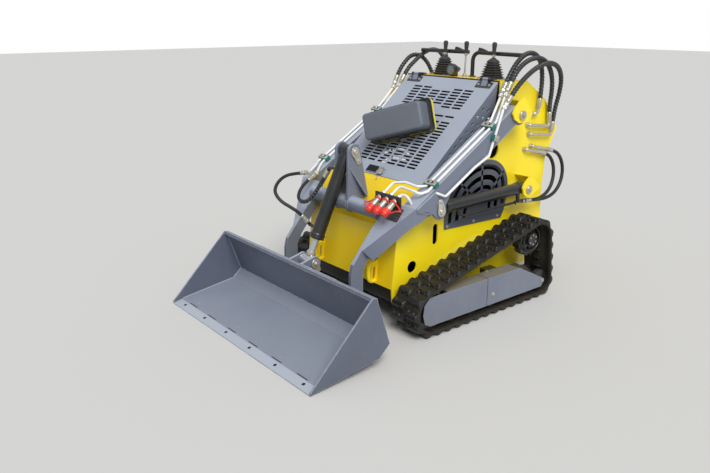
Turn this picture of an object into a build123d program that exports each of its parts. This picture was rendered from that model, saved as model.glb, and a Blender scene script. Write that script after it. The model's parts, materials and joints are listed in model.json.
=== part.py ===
from build123d import *
import math
import os

# Compact tracked skid steer loader, millimetres.
# +X is the machine's left side, -Y its front (the bucket), +Z up.
# The origin is on the ground under the middle of the machine's length.

# ---- driving dimensions -------------------------------------------------
running_gap = 0.3          # radial clearance of a pin in its bore
seat_gap = 0.3             # clearance between a piece and its seat
moving_gap = 6.0           # side clearance between pieces that move past each other

# body shell
body_half = 345.0          # outer face of the side plates
side_sheet = 8.0
body_inner = body_half - side_sheet
belly_z = 130.0
sheet = 5.0                # thickness of the folded sheet panels
shell_front_low = (-347.0, 200.0)
shell_front_fold = (-318.0, 487.0)
cowl_top = (-160.0, 683.0)
tower_front = (372.0, 1153.0)
tower_rear = (583.0, 1144.0)
console_bend = (750.0, 1036.0)
console_tail = (876.0, 873.0)
rear_notch = (788.0, 711.0)
rear_waist = (778.0, 526.0)
rear_foot = (786.0, 371.0)
rear_bottom = (772.0, belly_z)
pad_face = 778.0           # rear panel behind the knee pad
rear_face = 769.0          # rear panel above the platform

# hood
hood_half = 330.0
hood_sheet = 4.0
hood_edge = (370.0, 1146.0)
hood_hinge = (362.0, 1156.0)
hinge_pin_radius = 5.0
hinge_knuckle = 9.0
hinge_places = (-255.0, 255.0)
hood_front = (-156.0, 684.0)
hood_flange = 88.0

# undercarriage
belt_width = 180.0
track_x = 466.0            # middle of a belt
lug_height = 18.0
belt_carcass = 15.0
lug_count = 36
lug_foot = 36.0
lug_tip = 25.0
idler_centre = (-262.0, 125.0)
idler_reach = 125.0        # from the wheel's axle to the lug tips
tail_centre = (578.0, 88.0)
tail_reach = 88.0
drive_centre = (515.0, 325.0)
drive_reach = 125.0
roller_radius = 36.0
roller_places = (-120.0, 30.0, 180.0, 330.0, 460.0)

# loader arms
arm_pivot = (405.0, 991.0)
arm_inner = 365.0
arm_outer = 450.0
arm_plate = 10.0
arm_depth = 81.0
arm_slope = 31.5           # degrees, of the straight rear part
arm_break = (-303.0, 620.0)
arm_knee = (-485.0, 415.0)
leg_inner = 263.0
leg_plate = 20.0
leg_front = -548.0
leg_rear = -476.0
attach_pivot = (-512.0, 150.0)
cross_tube_centre = (-352.0, 573.0)
cross_tube_radius = 38.0

# pins
arm_pin_radius = 17.5
cylinder_pin_radius = 15.0

# lift cylinders
lift_x = 407.5
lift_base = (514.0, 592.0)
lift_eye = (-143.0, 582.0)
lift_barrel_radius = 31.0
lift_barrel_length = 588.0
lift_rod_radius = 15.0
lift_eye_width = 50.0
lift_rod_inside = 560.0

# tilt cylinder
tilt_top = (-343.0, 834.0)
tilt_low = (-592.0, 312.0)
tilt_barrel_radius = 34.0
tilt_barrel_length = 462.0
tilt_rod_radius = 17.5
tilt_eye_width = 70.0
tilt_rod_inside = 436.0

# bucket
bucket_half = 630.0
bucket_plate = 8.0
bucket_lip = (-1040.0, 0.0)
bucket_top = (-710.0, 340.0)
bucket_top_rear = (-687.0, 336.0)
bucket_back_low = (-612.0, 106.0)
bucket_heel = (-671.0, 52.0)

# rear tie-down ears
tie_ear_x = 290.0
tie_ear_hole = (806.0, 270.0)
tie_ear_bore = 14.0

# platform
platform_half = 250.0
platform_hinge = (806.0, 160.0)
platform_tail = 1040.0
platform_sheet = 6.0


# side grille: two arcs that meet smoothly, left one larger
grille_low_left = (-2.0, 440.0)
grille_low_right = (431.0, 428.0)
grille_right_waist = (459.0, 481.0)
grille_left_centre = (281.0, 476.0)
grille_left_radius = 285.0
grille_right_centre = (312.0, 595.0)
grille_right_radius = grille_left_radius - math.dist(grille_left_centre, grille_right_centre)
grille_join = math.degrees(
    math.atan2(
        grille_right_centre[1] - grille_left_centre[1], grille_right_centre[0] - grille_left_centre[0]
    )
)
grille_sheet = 4.0
grille_slots = ((24.0, 51.0), (78.0, 105.0), (132.0, 155.0))   # outer and inner inset of each arc
grille_slot_floor = (463.0, 501.0)      # height of the slots' lower ends at y 13 and y 390
grille_rib_hub = (270.0, 520.0)
grille_rib_angles = (45.0, 92.0, 139.0)
grille_rib_width = 12.0

# hood slots: columns across the hood, rows up its slope
hood_slot = (62.0, 11.5)
hood_columns = (-187.5, -112.5, -37.5, 37.5, 112.5, 187.5)
hood_row_pitch = 20.5
hood_first_row = 89.0
hood_rows = (
    # first row, last row, columns used
    (0, 15, (0, 1, 2, 3, 4, 5)),
    (17, 17, (4, 5)),
    (20, 26, (0, 1, 4, 5)),
    (21, 25, (2, 3)),
)
flange_slot = (20.0, 9.0)
flange_rows = (
    # distance in from the hood's edge, first place up the slope, number
    (28.0, 180.0, 8),
    (60.0, 205.0, 8),
)
flange_pitch = 51.0

# hydraulic lines and hoses
line_diameter = 13.0
line_bend = 22.0
line_rise = 12.0           # from an arm's top to a line's middle
line_places = (402.0, 437.0)
hose_diameter = 21.0
small_hose_diameter = 19.0
tilt_hose_diameter = 17.0
coupling_radius = 10.0
fitting_diameter = 17.0
fitting_stand = 22.0       # from a side plate to the middle of a fitting

# quick couplers on the left arm
coupler_places = (250.0, 304.0, 358.0)
coupler_rear = (-326.0, 659.0)
coupler_fall = 35.0        # degrees, nose down
coupler_hole = 15.4
coupler_table = (
    # start and length along the axis, radius, sides (0 for round)
    (0.0, 16.0, 14.0, 6),
    (16.0, 34.0, 15.0, 0),
    (50.0, 6.0, 12.5, 0),
    (56.0, 32.0, 14.5, 0),
)
cap_table = (
    (88.3, 22.0, 16.5),
    (110.3, 6.0, 12.0),
)

# air cleaner: a box that leans over the hood
cleaner_face = (16.0, -72.5, 956.5)
cleaner_long = Vector(0.889, 0.363, 0.279)
cleaner_rear = Vector(-0.327, 0.930, -0.166)
cleaner_size = (339.0, 141.0, 115.0)
cleaner_round = 22.0
cleaner_base = (372.0, 174.0, 6.0)
cleaner_stand = (250.0, 96.0, 190.0)

# controls on the console
console_deck = (500.0, 1147.5)
boot_places = (-177.0, 177.0)
boot_width = 100.0
boot_ribs = 5
boot_height = 104.0
knob_length = 62.0
knob_top = 188.0           # above the console
bar_radius = 11.0
bar_y = 532.0
bar_z = 1277.0
lamp_centre = (-36.0, 405.0, 1187.0)
lamp_radius = 31.0

# small parts of the frame
front_lug_x = 214.0
frame_near = 430.0
frame_width = 70.0
frame_top = 180.0
axle_radius = 12.0
wheel_width = 26.0
sprocket_width = 44.0
sprocket_teeth = 12
sprocket_scallop = 10.0
guard_face = 544.0
guard_sheet = 4.0
guard_ridge = 206.0
guard_seam = 124.0
guard_shelf_x = 460.0
doubler = 6.0
side_line_end = (-172.0, 675.0)
side_line_x = 461.0


# hoses: diameter and route, from the end on a moving piece to the end on the body or on the cylinder
hoses = {
    "hose_left_inner": (hose_diameter, (
        (402.0, 330.0, 1123.0), (402.0, 366.0, 1185.4), (396.0, 424.0, 1244.0), (389.0, 500.0, 1286.0),
        (382.0, 580.0, 1286.0), (376.0, 642.0, 1246.0), (371.0, 674.0, 1172.0), (367.0, 680.0, 1090.0),
        (367.0, 671.0, 1016.0),
    )),
    "hose_left_middle": (hose_diameter, (
        (437.0, 323.0, 1129.0), (437.0, 360.0, 1188.0), (432.0, 422.0, 1236.0), (425.0, 500.0, 1262.0),
        (417.0, 586.0, 1264.0), (408.0, 664.0, 1232.0), (398.0, 722.0, 1166.0), (384.0, 750.0, 1084.0),
        (367.0, 762.0, 1008.0), (367.0, 768.0, 937.0),
    )),
    "hose_left_outer": (hose_diameter, (
        (461.0, 295.0, 1068.0), (461.0, 340.0, 1116.0), (457.0, 402.0, 1162.0), (452.0, 480.0, 1204.0),
        (445.0, 566.0, 1232.0), (437.0, 652.0, 1238.0), (428.0, 732.0, 1212.0), (413.0, 786.0, 1152.0),
        (393.0, 806.0, 1070.0), (367.0, 809.0, 974.0), (367.0, 800.0, 882.0),
    )),
    "hose_right_inner": (hose_diameter, (
        (-402.0, 384.0, 1111.0), (-402.0, 424.0, 1171.0), (-398.0, 482.0, 1216.0), (-393.0, 538.0, 1256.0),
        (-387.0, 600.0, 1279.0), (-381.0, 658.0, 1272.0), (-376.0, 698.0, 1232.0), (-372.0, 709.0, 1174.0),
        (-369.0, 710.0, 1118.0), (-367.0, 707.0, 1066.0), (-367.0, 700.0, 1016.0),
    )),
    "hose_right_outer": (hose_diameter, (
        (-437.0, 366.0, 1106.0), (-437.0, 394.0, 1162.0), (-434.0, 430.0, 1206.0), (-429.0, 476.0, 1246.0),
        (-421.0, 534.0, 1250.0), (-411.0, 584.0, 1216.0), (-398.0, 614.0, 1164.0), (-383.0, 628.0, 1104.0),
        (-367.0, 632.0, 1050.0), (-367.0, 632.0, 1000.0),
    )),
    "hose_lift_gland": (small_hose_diameter, (
        (398.0, 596.0, 507.0), (398.0, 679.5, 498.2), (393.0, 770.0, 493.0), (387.0, 852.0, 512.0),
        (381.0, 908.0, 564.0), (375.0, 926.0, 634.0), (370.0, 905.0, 700.0), (367.0, 853.0, 745.7),
        (367.0, 787.0, 761.0),
    )),
    "hose_lift_base": (small_hose_diameter, (
        (424.0, 548.0, 520.0), (424.0, 615.6, 513.0), (413.0, 686.0, 512.0), (402.0, 760.0, 530.0),
        (391.0, 812.0, 574.0), (381.0, 834.0, 636.0), (373.0, 822.0, 696.0), (367.0, 780.0, 738.7),
        (367.0, 726.0, 751.0),
    )),
    "hose_tilt_gland": (tilt_hose_diameter, (
        (-345.0, -372.0, 667.0), (-330.0, -440.0, 674.0), (-306.0, -506.0, 678.0), (-272.0, -568.0, 670.0),
        (-232.0, -622.0, 650.0), (-196.0, -650.0, 626.0), (-158.0, -640.0, 590.0), (-124.0, -606.0, 562.0),
        (-102.0, -568.0, 530.0), (-90.0, -541.0, 494.0),
    )),
    "hose_tilt_base": (tilt_hose_diameter, (
        (-320.0, -335.0, 643.0), (-307.0, -392.0, 618.0), (-292.0, -434.0, 590.0), (-266.0, -464.0, 564.0),
        (-223.0, -478.0, 549.0), (-176.0, -467.0, 558.0), (-152.0, -443.0, 594.0), (-133.0, -425.0, 637.0),
        (-112.0, -415.0, 676.0), (-84.0, -410.0, 716.0),
    )),
}


def along(start, finish, distance):
    run = math.dist(start, finish)
    return tuple(a + (b - a) * distance / run for a, b in zip(start, finish))


def before(route, length):
    """The point in line with a route's first run, a length before its start."""
    share = length / math.dist(route[0], route[1])
    return tuple(a - (b - a) * share for a, b in zip(route[0], route[1]))


union_length = 46.0


def fed_line(hose, middle, far_hose=None):
    """A rigid line that starts straight behind a hose and may end straight behind another."""
    route = hoses[hose][1]
    points = [route[0], before(route, union_length), *middle]
    if far_hose:
        far_route = hoses[far_hose][1]
        points += [before(far_route, union_length), far_route[0]]
    return points


arm_lines = (
    # left arm: two on top, to the left and middle couplers
    fed_line("hose_left_inner", (
        (402.0, 243.0, 968.7), (402.0, -190.0, 703.3), (380.0, -228.0, 702.0), (310.0, -238.0, 712.0),
        (250.0, -262.0, 703.8), (250.0, -325.8, 659.2),
    )),
    fed_line("hose_left_middle", (
        (437.0, 243.0, 968.7), (437.0, -215.0, 688.0), (430.0, -258.0, 680.0), (395.0, -272.0, 692.0),
        (304.0, -272.0, 696.9), (304.0, -325.8, 659.2),
    )),
    # one on its outer side, which goes into the arm and comes out of its top beside the couplers
    fed_line("hose_left_outer", (
        (461.0, 174.0, 810.0), (461.0, 76.0, 768.0), (461.0, -121.0, 653.0), (461.0, -172.0, 675.0),
        (442.0, -172.0, 675.0),
    )),
    # right arm: two on top, to the tilt cylinder's hoses
    fed_line("hose_right_outer", (
        (-437.0, 243.0, 968.7), (-437.0, -205.0, 694.1), (-402.0, -246.0, 684.0),
    ), "hose_tilt_gland"),
    fed_line("hose_right_inner", (
        (-402.0, 243.0, 968.7), (-402.0, -200.0, 697.2), (-384.0, -232.0, 682.0),
    ), "hose_tilt_base"),
)
outer_line_end = (
    (400.0, -284.4, 631.8), (400.0, -299.0, 657.0), (382.0, -302.0, 670.0), (358.0, -308.0, 671.7),
    (358.0, -325.8, 659.2),
)
# unions on their ends: (end of the line, point it comes from)
line_unions = [(line[0], line[1]) for line in arm_lines]
line_unions += [(line[-1], line[-2]) for line in arm_lines[3:]]
clamp_runs = (144.0, 594.0)
clamp_length = 28.0
side_clamp = along(arm_lines[2][2], arm_lines[2][1], 78.0)
side_clamp_heading = Vector(*arm_lines[2][1]) - Vector(*arm_lines[2][2])
bracket_y = 346.0

# pipes on the cylinders
gland_length = 26.0
gland_route = hoses["hose_lift_gland"][1]
gland_pipe = (
    (398.0, 40.0, 560.0), (398.0, 46.0, 522.0), (398.0, 84.0, 511.0), (398.0, 500.0, 513.0),
    before(gland_route, union_length), gland_route[0],
)
base_route = hoses["hose_lift_base"][1]
base_pipe = ((424.0, 466.0, 572.0), before(base_route, 76.0), base_route[0])
gland_stub_route = hoses["hose_tilt_gland"][1][::-1]
gland_stub = ((-28.0, -519.0, 461.0), before(gland_stub_route, 40.0), gland_stub_route[0])
base_stub_route = hoses["hose_tilt_base"][1][::-1]
base_stub = ((-24.0, -406.0, 748.0), before(base_stub_route, 34.0), base_stub_route[0])

# elbows on the side plates: (bulkhead in y and z, hose or None, length in line with the hose)
side_fittings = (
    (1, (636.0, 968.0), "hose_left_inner", 37.0),
    (1, (604.0, 912.0), "hose_left_middle", 44.0),
    (1, (621.0, 861.0), "hose_left_outer", 40.0),
    (1, (645.0, 794.0), "hose_lift_gland", 145.0),
    (1, (594.0, 781.0), "hose_lift_base", 135.0),
    (-1, (660.0, 971.0), "hose_right_inner", 35.0),
    (-1, (596.0, 955.0), "hose_right_outer", 35.0),
    (-1, (645.0, 794.0), None, 60.0),
    (-1, (594.0, 781.0), None, 60.0),
)

# controls, continued
lever_y = 500.0
middle_lever = -20.0
boot_step = 14.0
right_bar_x = 8.0
right_bar_end = 345.0
left_bar = (-390.0, -26.0)
left_strut_x = -200.0
paddle_places = (-126.0, 46.0)
cleaner_edge = 14.0
hood_slope = math.degrees(math.atan2(hood_edge[1] - hood_front[1], hood_edge[0] - hood_front[0]))
latch_x = 0.0
edge_holes = 6
edge_hole = 9.0
edge_hole_pitch = 200.0


# ---- helpers ------------------------------------------------------------
def across(x):
    """Sketch plane whose first axis is Y and second is Z, at a given X."""
    return Plane.YZ.offset(x)


def beside(start, finish, distance):
    """The line start-finish moved to its left by a distance, as two points."""
    run = math.dist(start, finish)
    step_y = -(finish[1] - start[1]) / run * distance
    step_z = (finish[0] - start[0]) / run * distance
    return (start[0] + step_y, start[1] + step_z), (finish[0] + step_y, finish[1] + step_z)


def crossing(first, second):
    """Where two lines meet, each given by two points."""
    (ay, az), (by, bz) = first
    (cy, cz), (dy, dz) = second
    across_lines = (by - ay) * (dz - cz) - (bz - az) * (dy - cy)
    share = ((cy - ay) * (dz - cz) - (cz - az) * (dy - cy)) / across_lines
    return (ay + (by - ay) * share, az + (bz - az) * share)


def corner_radii(points, share=0.45):
    """The largest even arc at each corner of a route: a share of its shorter run, over half the turn."""
    radii = []
    for before, corner, after in zip(points, points[1:], points[2:]):
        arriving = Vector(*corner) - Vector(*before)
        leaving = Vector(*after) - Vector(*corner)
        half_turn = math.radians(arriving.get_angle(leaving)) / 2
        radii.append(share * min(arriving.length, leaving.length) / math.tan(half_turn))
    return radii


def tube_along(points, diameter, radii):
    """A round bar of straight runs joined by tangent arcs."""
    with BuildPart() as made:
        with BuildLine() as route:
            FilletPolyline(*points, radius=radii)
        with BuildSketch(Plane(origin=route.line @ 0, z_dir=route.line % 0)):
            Circle(diameter / 2)
        sweep(path=route.line)
    return made.part


def pipe(points, diameter=line_diameter, bend=line_bend):
    """A rigid pipe: its bends have one radius, or less where the runs are short."""
    return tube_along(points, diameter, [min(bend, radius) for radius in corner_radii(points)])


def collar(start, finish, radius, sides=6):
    """A nut or a sleeve on the straight line between two points."""
    heading = Vector(*finish) - Vector(*start)
    with BuildPart() as made:
        with BuildSketch(Plane(origin=start, z_dir=heading)):
            if sides:
                RegularPolygon(radius, sides)
            else:
                Circle(radius)
        extrude(amount=heading.length)
    return made.part


pieces = {}


def belt_corners(inset):
    """Tangent normals of a belt round its three wheels, with the belt's surface moved in by an inset."""
    wheels = [
        (idler_centre, idler_reach - inset),
        (tail_centre, tail_reach - inset),
        (drive_centre, drive_reach - inset),
    ]
    normals = []
    for index, (centre, radius) in enumerate(wheels):
        following, following_radius = wheels[(index + 1) % len(wheels)]
        gap = math.dist(centre, following)
        heading = math.atan2(following[1] - centre[1], following[0] - centre[0])
        normals.append(heading - math.acos((radius - following_radius) / gap))
    return wheels, normals


def on_wheel(centre, radius, angle):
    return (centre[0] + radius * math.cos(angle), centre[1] + radius * math.sin(angle))


def belt_loop(inset, x_low):
    """Closed outline of the belt as a sketch: three arcs joined by tangent lines."""
    wheels, normals = belt_corners(inset)
    with BuildSketch(across(x_low)) as loop:
        with BuildLine():
            for index, (centre, radius) in enumerate(wheels):
                arrive = normals[index - 1]
                turn = (normals[index] - arrive) % (2 * math.pi)
                CenterArc(centre, radius, math.degrees(arrive), math.degrees(turn))
                following, following_radius = wheels[(index + 1) % len(wheels)]
                Line(
                    on_wheel(centre, radius, normals[index]),
                    on_wheel(following, following_radius, normals[index]),
                )
        make_face()
    return loop.sketch


def belt_stations(inset, count):
    """Evenly spaced places round the belt, each a point and the angle of its outward normal."""
    wheels, normals = belt_corners(inset)
    spans = []
    for index, (centre, radius) in enumerate(wheels):
        arrive = normals[index - 1]
        turn = (normals[index] - arrive) % (2 * math.pi)
        spans.append(("arc", centre, radius, arrive, radius * turn))
        following, following_radius = wheels[(index + 1) % len(wheels)]
        start = on_wheel(centre, radius, normals[index])
        finish = on_wheel(following, following_radius, normals[index])
        spans.append(("line", start, finish, normals[index], math.dist(start, finish)))
    whole = sum(span[4] for span in spans)
    stations = []
    for number in range(count):
        left = (number + 0.5) * whole / count
        for kind, first, second, angle, length in spans:
            if left <= length:
                break
            left -= length
        if kind == "arc":
            normal = angle + left / second
            stations.append((on_wheel(first, second, normal), normal))
        else:
            share = left / length
            point = tuple(a + (b - a) * share for a, b in zip(first, second))
            stations.append((point, angle))
    return stations


# ---- body shell ---------------------------------------------------------
flange_line = beside(hood_front, hood_edge, -hood_flange - 4.0)
with BuildPart() as side_plates:
    with BuildSketch(across(body_inner)):
        with BuildLine():
            Polyline(
                (shell_front_low[0] + 6, belly_z),
                shell_front_low,
                shell_front_fold,
                cowl_top,
                (flange_line[0][0] - 20, flange_line[0][1] - 18),
                (tower_front[0], flange_line[1][1] - 60),
                tower_front,
                tower_rear,
                console_bend,
                console_tail,
                rear_notch,
                rear_waist,
                rear_foot,
                rear_bottom,
                close=True,
            )
        make_face()
        # behind the grille, beside the battery and above the track
        with BuildLine():
            Polyline((30.0, 470.0), (30.0, 560.0), (95.0, 670.0), (190.0, 724.0), (290.0, 738.0))
            Polyline((290.0, 738.0), (380.0, 712.0), (440.0, 650.0), (452.0, 590.0), (404.0, 492.0), (30.0, 470.0))
        make_face(mode=Mode.SUBTRACT)
        with Locations((340.0, 806.0)):
            Circle(44.0, mode=Mode.SUBTRACT)
        with Locations((-216.0, 290.0)):
            Circle(30.0, mode=Mode.SUBTRACT)
        with Locations((-62.0, 428.0)):
            SlotOverall(107.0, 33.0, rotation=90, mode=Mode.SUBTRACT)
        for pin, radius in ((arm_pivot, arm_pin_radius), (lift_base, cylinder_pin_radius)):
            with Locations(pin):
                Circle(radius + running_gap, mode=Mode.SUBTRACT)
    extrude(amount=side_sheet)
    mirror(about=Plane.YZ)
pieces["side_plates"] = side_plates.part

with BuildPart() as belly_pan:
    with BuildSketch(Plane.XY.offset(belly_z)):
        with Locations((0, (shell_front_low[0] + rear_bottom[0] + 4) / 2)):
            Rectangle(2 * body_inner, rear_bottom[0] - shell_front_low[0] - 20)
    extrude(amount=6)
pieces["belly_pan"] = belly_pan.part


def folded_sheet(points, thickness):
    """Outline of a sheet folded along X: outer face on the points, thickness to their right."""
    moved = [beside(start, finish, -thickness) for start, finish in zip(points, points[1:])]
    inner = [moved[0][0]]
    for before, after in zip(moved, moved[1:]):
        inner.append(crossing(before, after))
    inner.append(moved[-1][1])
    return list(points) + inner[::-1]


with BuildPart() as front_panel:
    with BuildSketch(across(-body_inner)):
        with BuildLine():
            Polyline(*folded_sheet([shell_front_low, shell_front_fold, cowl_top], sheet), close=True)
        make_face()
    extrude(amount=2 * body_inner)
    # tie-down lug in front of each track
    with BuildSketch(across(front_lug_x)):
        with BuildLine():
            Polyline(
                (-344.5, 200.0), (-332.0, 330.0), (-350.0, 322.0), (-374.0, 288.0), (-377.0, 238.0), (-362.0, 208.0),
                close=True,
            )
        make_face()
        with Locations((-359.0, 262.0)):
            SlotOverall(58.0, 15.0, rotation=84, mode=Mode.SUBTRACT)
    lug = extrude(amount=12)
    mirror(lug, about=Plane.YZ)
pieces["front_panel"] = front_panel.part

with BuildPart() as front_skid_panel:
    with BuildSketch(Plane.XZ.offset(-shell_front_low[0] - 18)):
        with Locations((0, (belly_z + shell_front_low[1]) / 2)):
            Rectangle(2 * body_inner, shell_front_low[1] - belly_z - 12)
    extrude(amount=6)
pieces["front_skid_panel"] = front_skid_panel.part

with BuildPart() as console_panel:
    with BuildSketch(across(-body_inner)):
        with BuildLine():
            Polyline(
                *folded_sheet(
                    [tower_front, tower_rear, console_bend, (console_tail[0] - 4, console_tail[1] + 5)], sheet
                ),
                close=True,
            )
        make_face()
    extrude(amount=2 * body_inner)
pieces["console_panel"] = console_panel.part

with BuildPart() as rear_panel:
    with BuildSketch(across(-body_inner)):
        with BuildLine():
            Polyline(
                *folded_sheet(
                    [
                        (console_tail[0] - 14, console_tail[1] - 6),
                        (pad_face, rear_notch[1]),
                        (pad_face, rear_waist[1]),
                        (rear_face, rear_foot[1]),
                        (rear_face, belly_z + 8),
                    ],
                    sheet,
                ),
                close=True,
            )
        make_face()
    extrude(amount=2 * body_inner)
pieces["rear_panel"] = rear_panel.part

with BuildPart() as engine_block:
    with BuildSketch(Plane.XY.offset(belly_z + 90)):
        with Locations((0, 130)):
            RectangleRounded(430, 480, 30)
    extrude(amount=400)
    with BuildSketch(Plane.XY.offset(belly_z + 6)):
        with Locations((0, 125)):
            with GridLocations(300, 350, 2, 2):
                Rectangle(60, 60)
    extrude(amount=84)
pieces["engine_block"] = engine_block.part


# ---- side grilles -------------------------------------------------------
def grille_dome(inset, floor):
    """The grille's two arcs moved in by an inset, closed by a straight floor."""
    with BuildSketch(across(body_half)) as dome:
        with BuildLine():
            right = CenterArc(grille_right_centre, grille_right_radius - inset, 0, grille_join)
            left = CenterArc(grille_left_centre, grille_left_radius - inset, grille_join, 180 - grille_join)
            Polyline(left @ 1, ((left @ 1).X, floor), ((right @ 0).X, floor), right @ 0)
        make_face()
    return dome.sketch


with BuildPart() as vent_grilles:
    with BuildSketch(across(body_half)):
        with BuildLine():
            right = CenterArc(grille_right_centre, grille_right_radius, 0, grille_join)
            left = CenterArc(grille_left_centre, grille_left_radius, grille_join, 180 - grille_join)
            Polyline(left @ 1, grille_low_left, grille_low_right, grille_right_waist, right @ 0)
        make_face()
    extrude(amount=grille_sheet)
    # arc-shaped slots between straight ribs that fan out from one point
    with BuildSketch(across(body_half)):
        for outer, inner in grille_slots:
            add(grille_dome(outer, 430.0))
            add(grille_dome(inner, 420.0), mode=Mode.SUBTRACT)
        with BuildLine():
            Polyline(
                (-60.0, 400.0), (-60.0, grille_slot_floor[0] - 7), (13.0, grille_slot_floor[0]),
                (390.0, grille_slot_floor[1]), (520.0, grille_slot_floor[1] + 13), (520.0, 400.0),
                close=True,
            )
        make_face(mode=Mode.SUBTRACT)
        for angle in grille_rib_angles:
            reach = 320.0
            middle = (
                grille_rib_hub[0] + reach / 2 * math.cos(math.radians(angle)),
                grille_rib_hub[1] + reach / 2 * math.sin(math.radians(angle)),
            )
            with Locations(middle):
                Rectangle(reach, grille_rib_width, rotation=angle, mode=Mode.SUBTRACT)
        with Locations((293.0, 596.0)):
            SlotOverall(48.0, 12.0)
    extrude(amount=grille_sheet, mode=Mode.SUBTRACT)
    mirror(about=Plane.YZ)
pieces["vent_grilles"] = vent_grilles.part

# ---- ears and pins ------------------------------------------------------
ear_x = arm_outer + moving_gap
ear_plate = 10.0


def ear(centre, pin_radius, outline, flange, x_low):
    """Pierced ear plate, held off the side plate by a flange folded back along one edge."""
    with BuildPart() as made:
        with BuildSketch(across(x_low)):
            with BuildLine():
                Polyline(*outline, close=True)
            make_face()
            with Locations(centre):
                Circle(pin_radius + running_gap, mode=Mode.SUBTRACT)
        extrude(amount=ear_plate)
        with BuildSketch(across(body_half)):
            with BuildLine():
                Polyline(*flange, close=True)
            make_face()
        extrude(amount=x_low - body_half)
        mirror(about=Plane.YZ)
    return made.part


def flange_between(start, finish, thickness):
    """Outline of a flange whose outer face runs from start to finish."""
    inner = beside(start, finish, -thickness)
    return [start, finish, inner[1], inner[0]]


pieces["arm_ears"] = ear(
    arm_pivot,
    arm_pin_radius,
    [
        (335.0, 1003.0), (350.0, 1030.0), (392.0, 1070.0), (415.0, 1079.0), (430.0, 1068.0), (489.0, 996.0),
        (480.0, 972.0), (456.0, 954.0), (389.0, 952.0), (352.0, 972.0),
    ],
    flange_between((433.0, 1061.6), (490.0, 1000.0), 6.0),
    ear_x,
)
pieces["cylinder_ears"] = ear(
    lift_base,
    cylinder_pin_radius,
    [
        (468.0, 603.0), (482.0, 626.0), (520.0, 656.0), (534.0, 658.0), (550.0, 648.0), (608.0, 596.0),
        (600.0, 578.0), (540.0, 550.0), (514.0, 547.0), (480.0, 566.0),
    ],
    flange_between((536.0, 658.0), (608.0, 595.0), 6.0),
    ear_x - ear_plate,
)

# turned pins with a head outside the ear: (name, centre, radius, ear's outer face, head radius)
for name, centre, radius, face, head in (
    ("arm_pins", arm_pivot, arm_pin_radius, ear_x + ear_plate, 24.0),
    ("cylinder_pins", lift_base, cylinder_pin_radius, ear_x, 21.0),
):
    with BuildPart() as pins:
        with BuildSketch(across(body_inner - 12)):
            with Locations(centre):
                Circle(radius)
        extrude(amount=face - body_inner + 12)
        with BuildSketch(across(face)):
            with Locations(centre):
                Circle(head)
        extrude(amount=6)
        mirror(about=Plane.YZ)
    pieces[name] = pins.part

# ---- undercarriage ------------------------------------------------------
belt_low = track_x - belt_width / 2
with BuildPart() as track_left:
    extrude(belt_loop(lug_height, belt_low), amount=belt_width)
    with BuildSketch(across(belt_low)):
        for (y, z), normal in belt_stations(lug_height, lug_count):
            out_y = math.cos(normal)
            out_z = math.sin(normal)
            corners = []
            for along_belt, rise in (
                (-lug_foot / 2, -3.0),
                (lug_foot / 2, -3.0),
                (lug_tip / 2, lug_height),
                (-lug_tip / 2, lug_height),
            ):
                corners.append((y + out_y * rise - out_z * along_belt, z + out_z * rise + out_y * along_belt))
            with BuildLine():
                Polyline(*corners, close=True)
            make_face()
    extrude(amount=belt_width)
    extrude(belt_loop(lug_height + belt_carcass, belt_low), amount=belt_width, mode=Mode.SUBTRACT)
pieces["track_left"] = track_left.part
pieces["track_right"] = mirror(track_left.part, about=Plane.YZ)

wheel_inset = lug_height + belt_carcass + 0.5
idler_radius = idler_reach - wheel_inset
tail_radius = tail_reach - wheel_inset
roller_height = wheel_inset + roller_radius
with BuildPart() as track_frames:
    with BuildSketch(across(frame_near)):
        with BuildLine():
            Polyline(
                (-262.0, 96.0), (578.0, 62.0), (600.0, 88.0), (578.0, 112.0), (480.0, frame_top),
                (-200.0, frame_top), (-262.0, 152.0), (-288.0, 125.0),
                close=True,
            )
        make_face()
        for wheel in (idler_centre, tail_centre):
            with Locations(wheel):
                Circle(axle_radius + running_gap, mode=Mode.SUBTRACT)
        for place in roller_places:
            with Locations((place, roller_height)):
                Circle(26.0)
            with Locations((place, roller_height)):
                Circle(axle_radius + running_gap, mode=Mode.SUBTRACT)
    extrude(amount=frame_width)
    with BuildSketch(across(body_half)):
        with Locations((-40.0, 150.0), (330.0, 150.0)):
            Rectangle(80.0, 40.0)
    extrude(amount=frame_near - body_half)
    mirror(about=Plane.YZ)
pieces["track_frames"] = track_frames.part


def wheel_pairs(wheels):
    """Wheels on both sides of the track frame, each pair on one axle: (centre, radius) rows."""
    with BuildPart() as made:
        for centre, radius in wheels:
            with BuildSketch(across(frame_near - seat_gap - wheel_width)):
                with Locations(centre):
                    Circle(axle_radius)
            extrude(amount=frame_width + 2 * seat_gap + 2 * wheel_width)
            for near in (frame_near - seat_gap - wheel_width, frame_near + frame_width + seat_gap):
                with BuildSketch(across(near)):
                    with Locations(centre):
                        Circle(radius)
                extrude(amount=wheel_width)
        mirror(about=Plane.YZ)
    return made.part


pieces["track_wheels"] = wheel_pairs([(idler_centre, idler_radius), (tail_centre, tail_radius)])
pieces["track_rollers"] = wheel_pairs([((place, roller_height), roller_radius) for place in roller_places])

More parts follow.
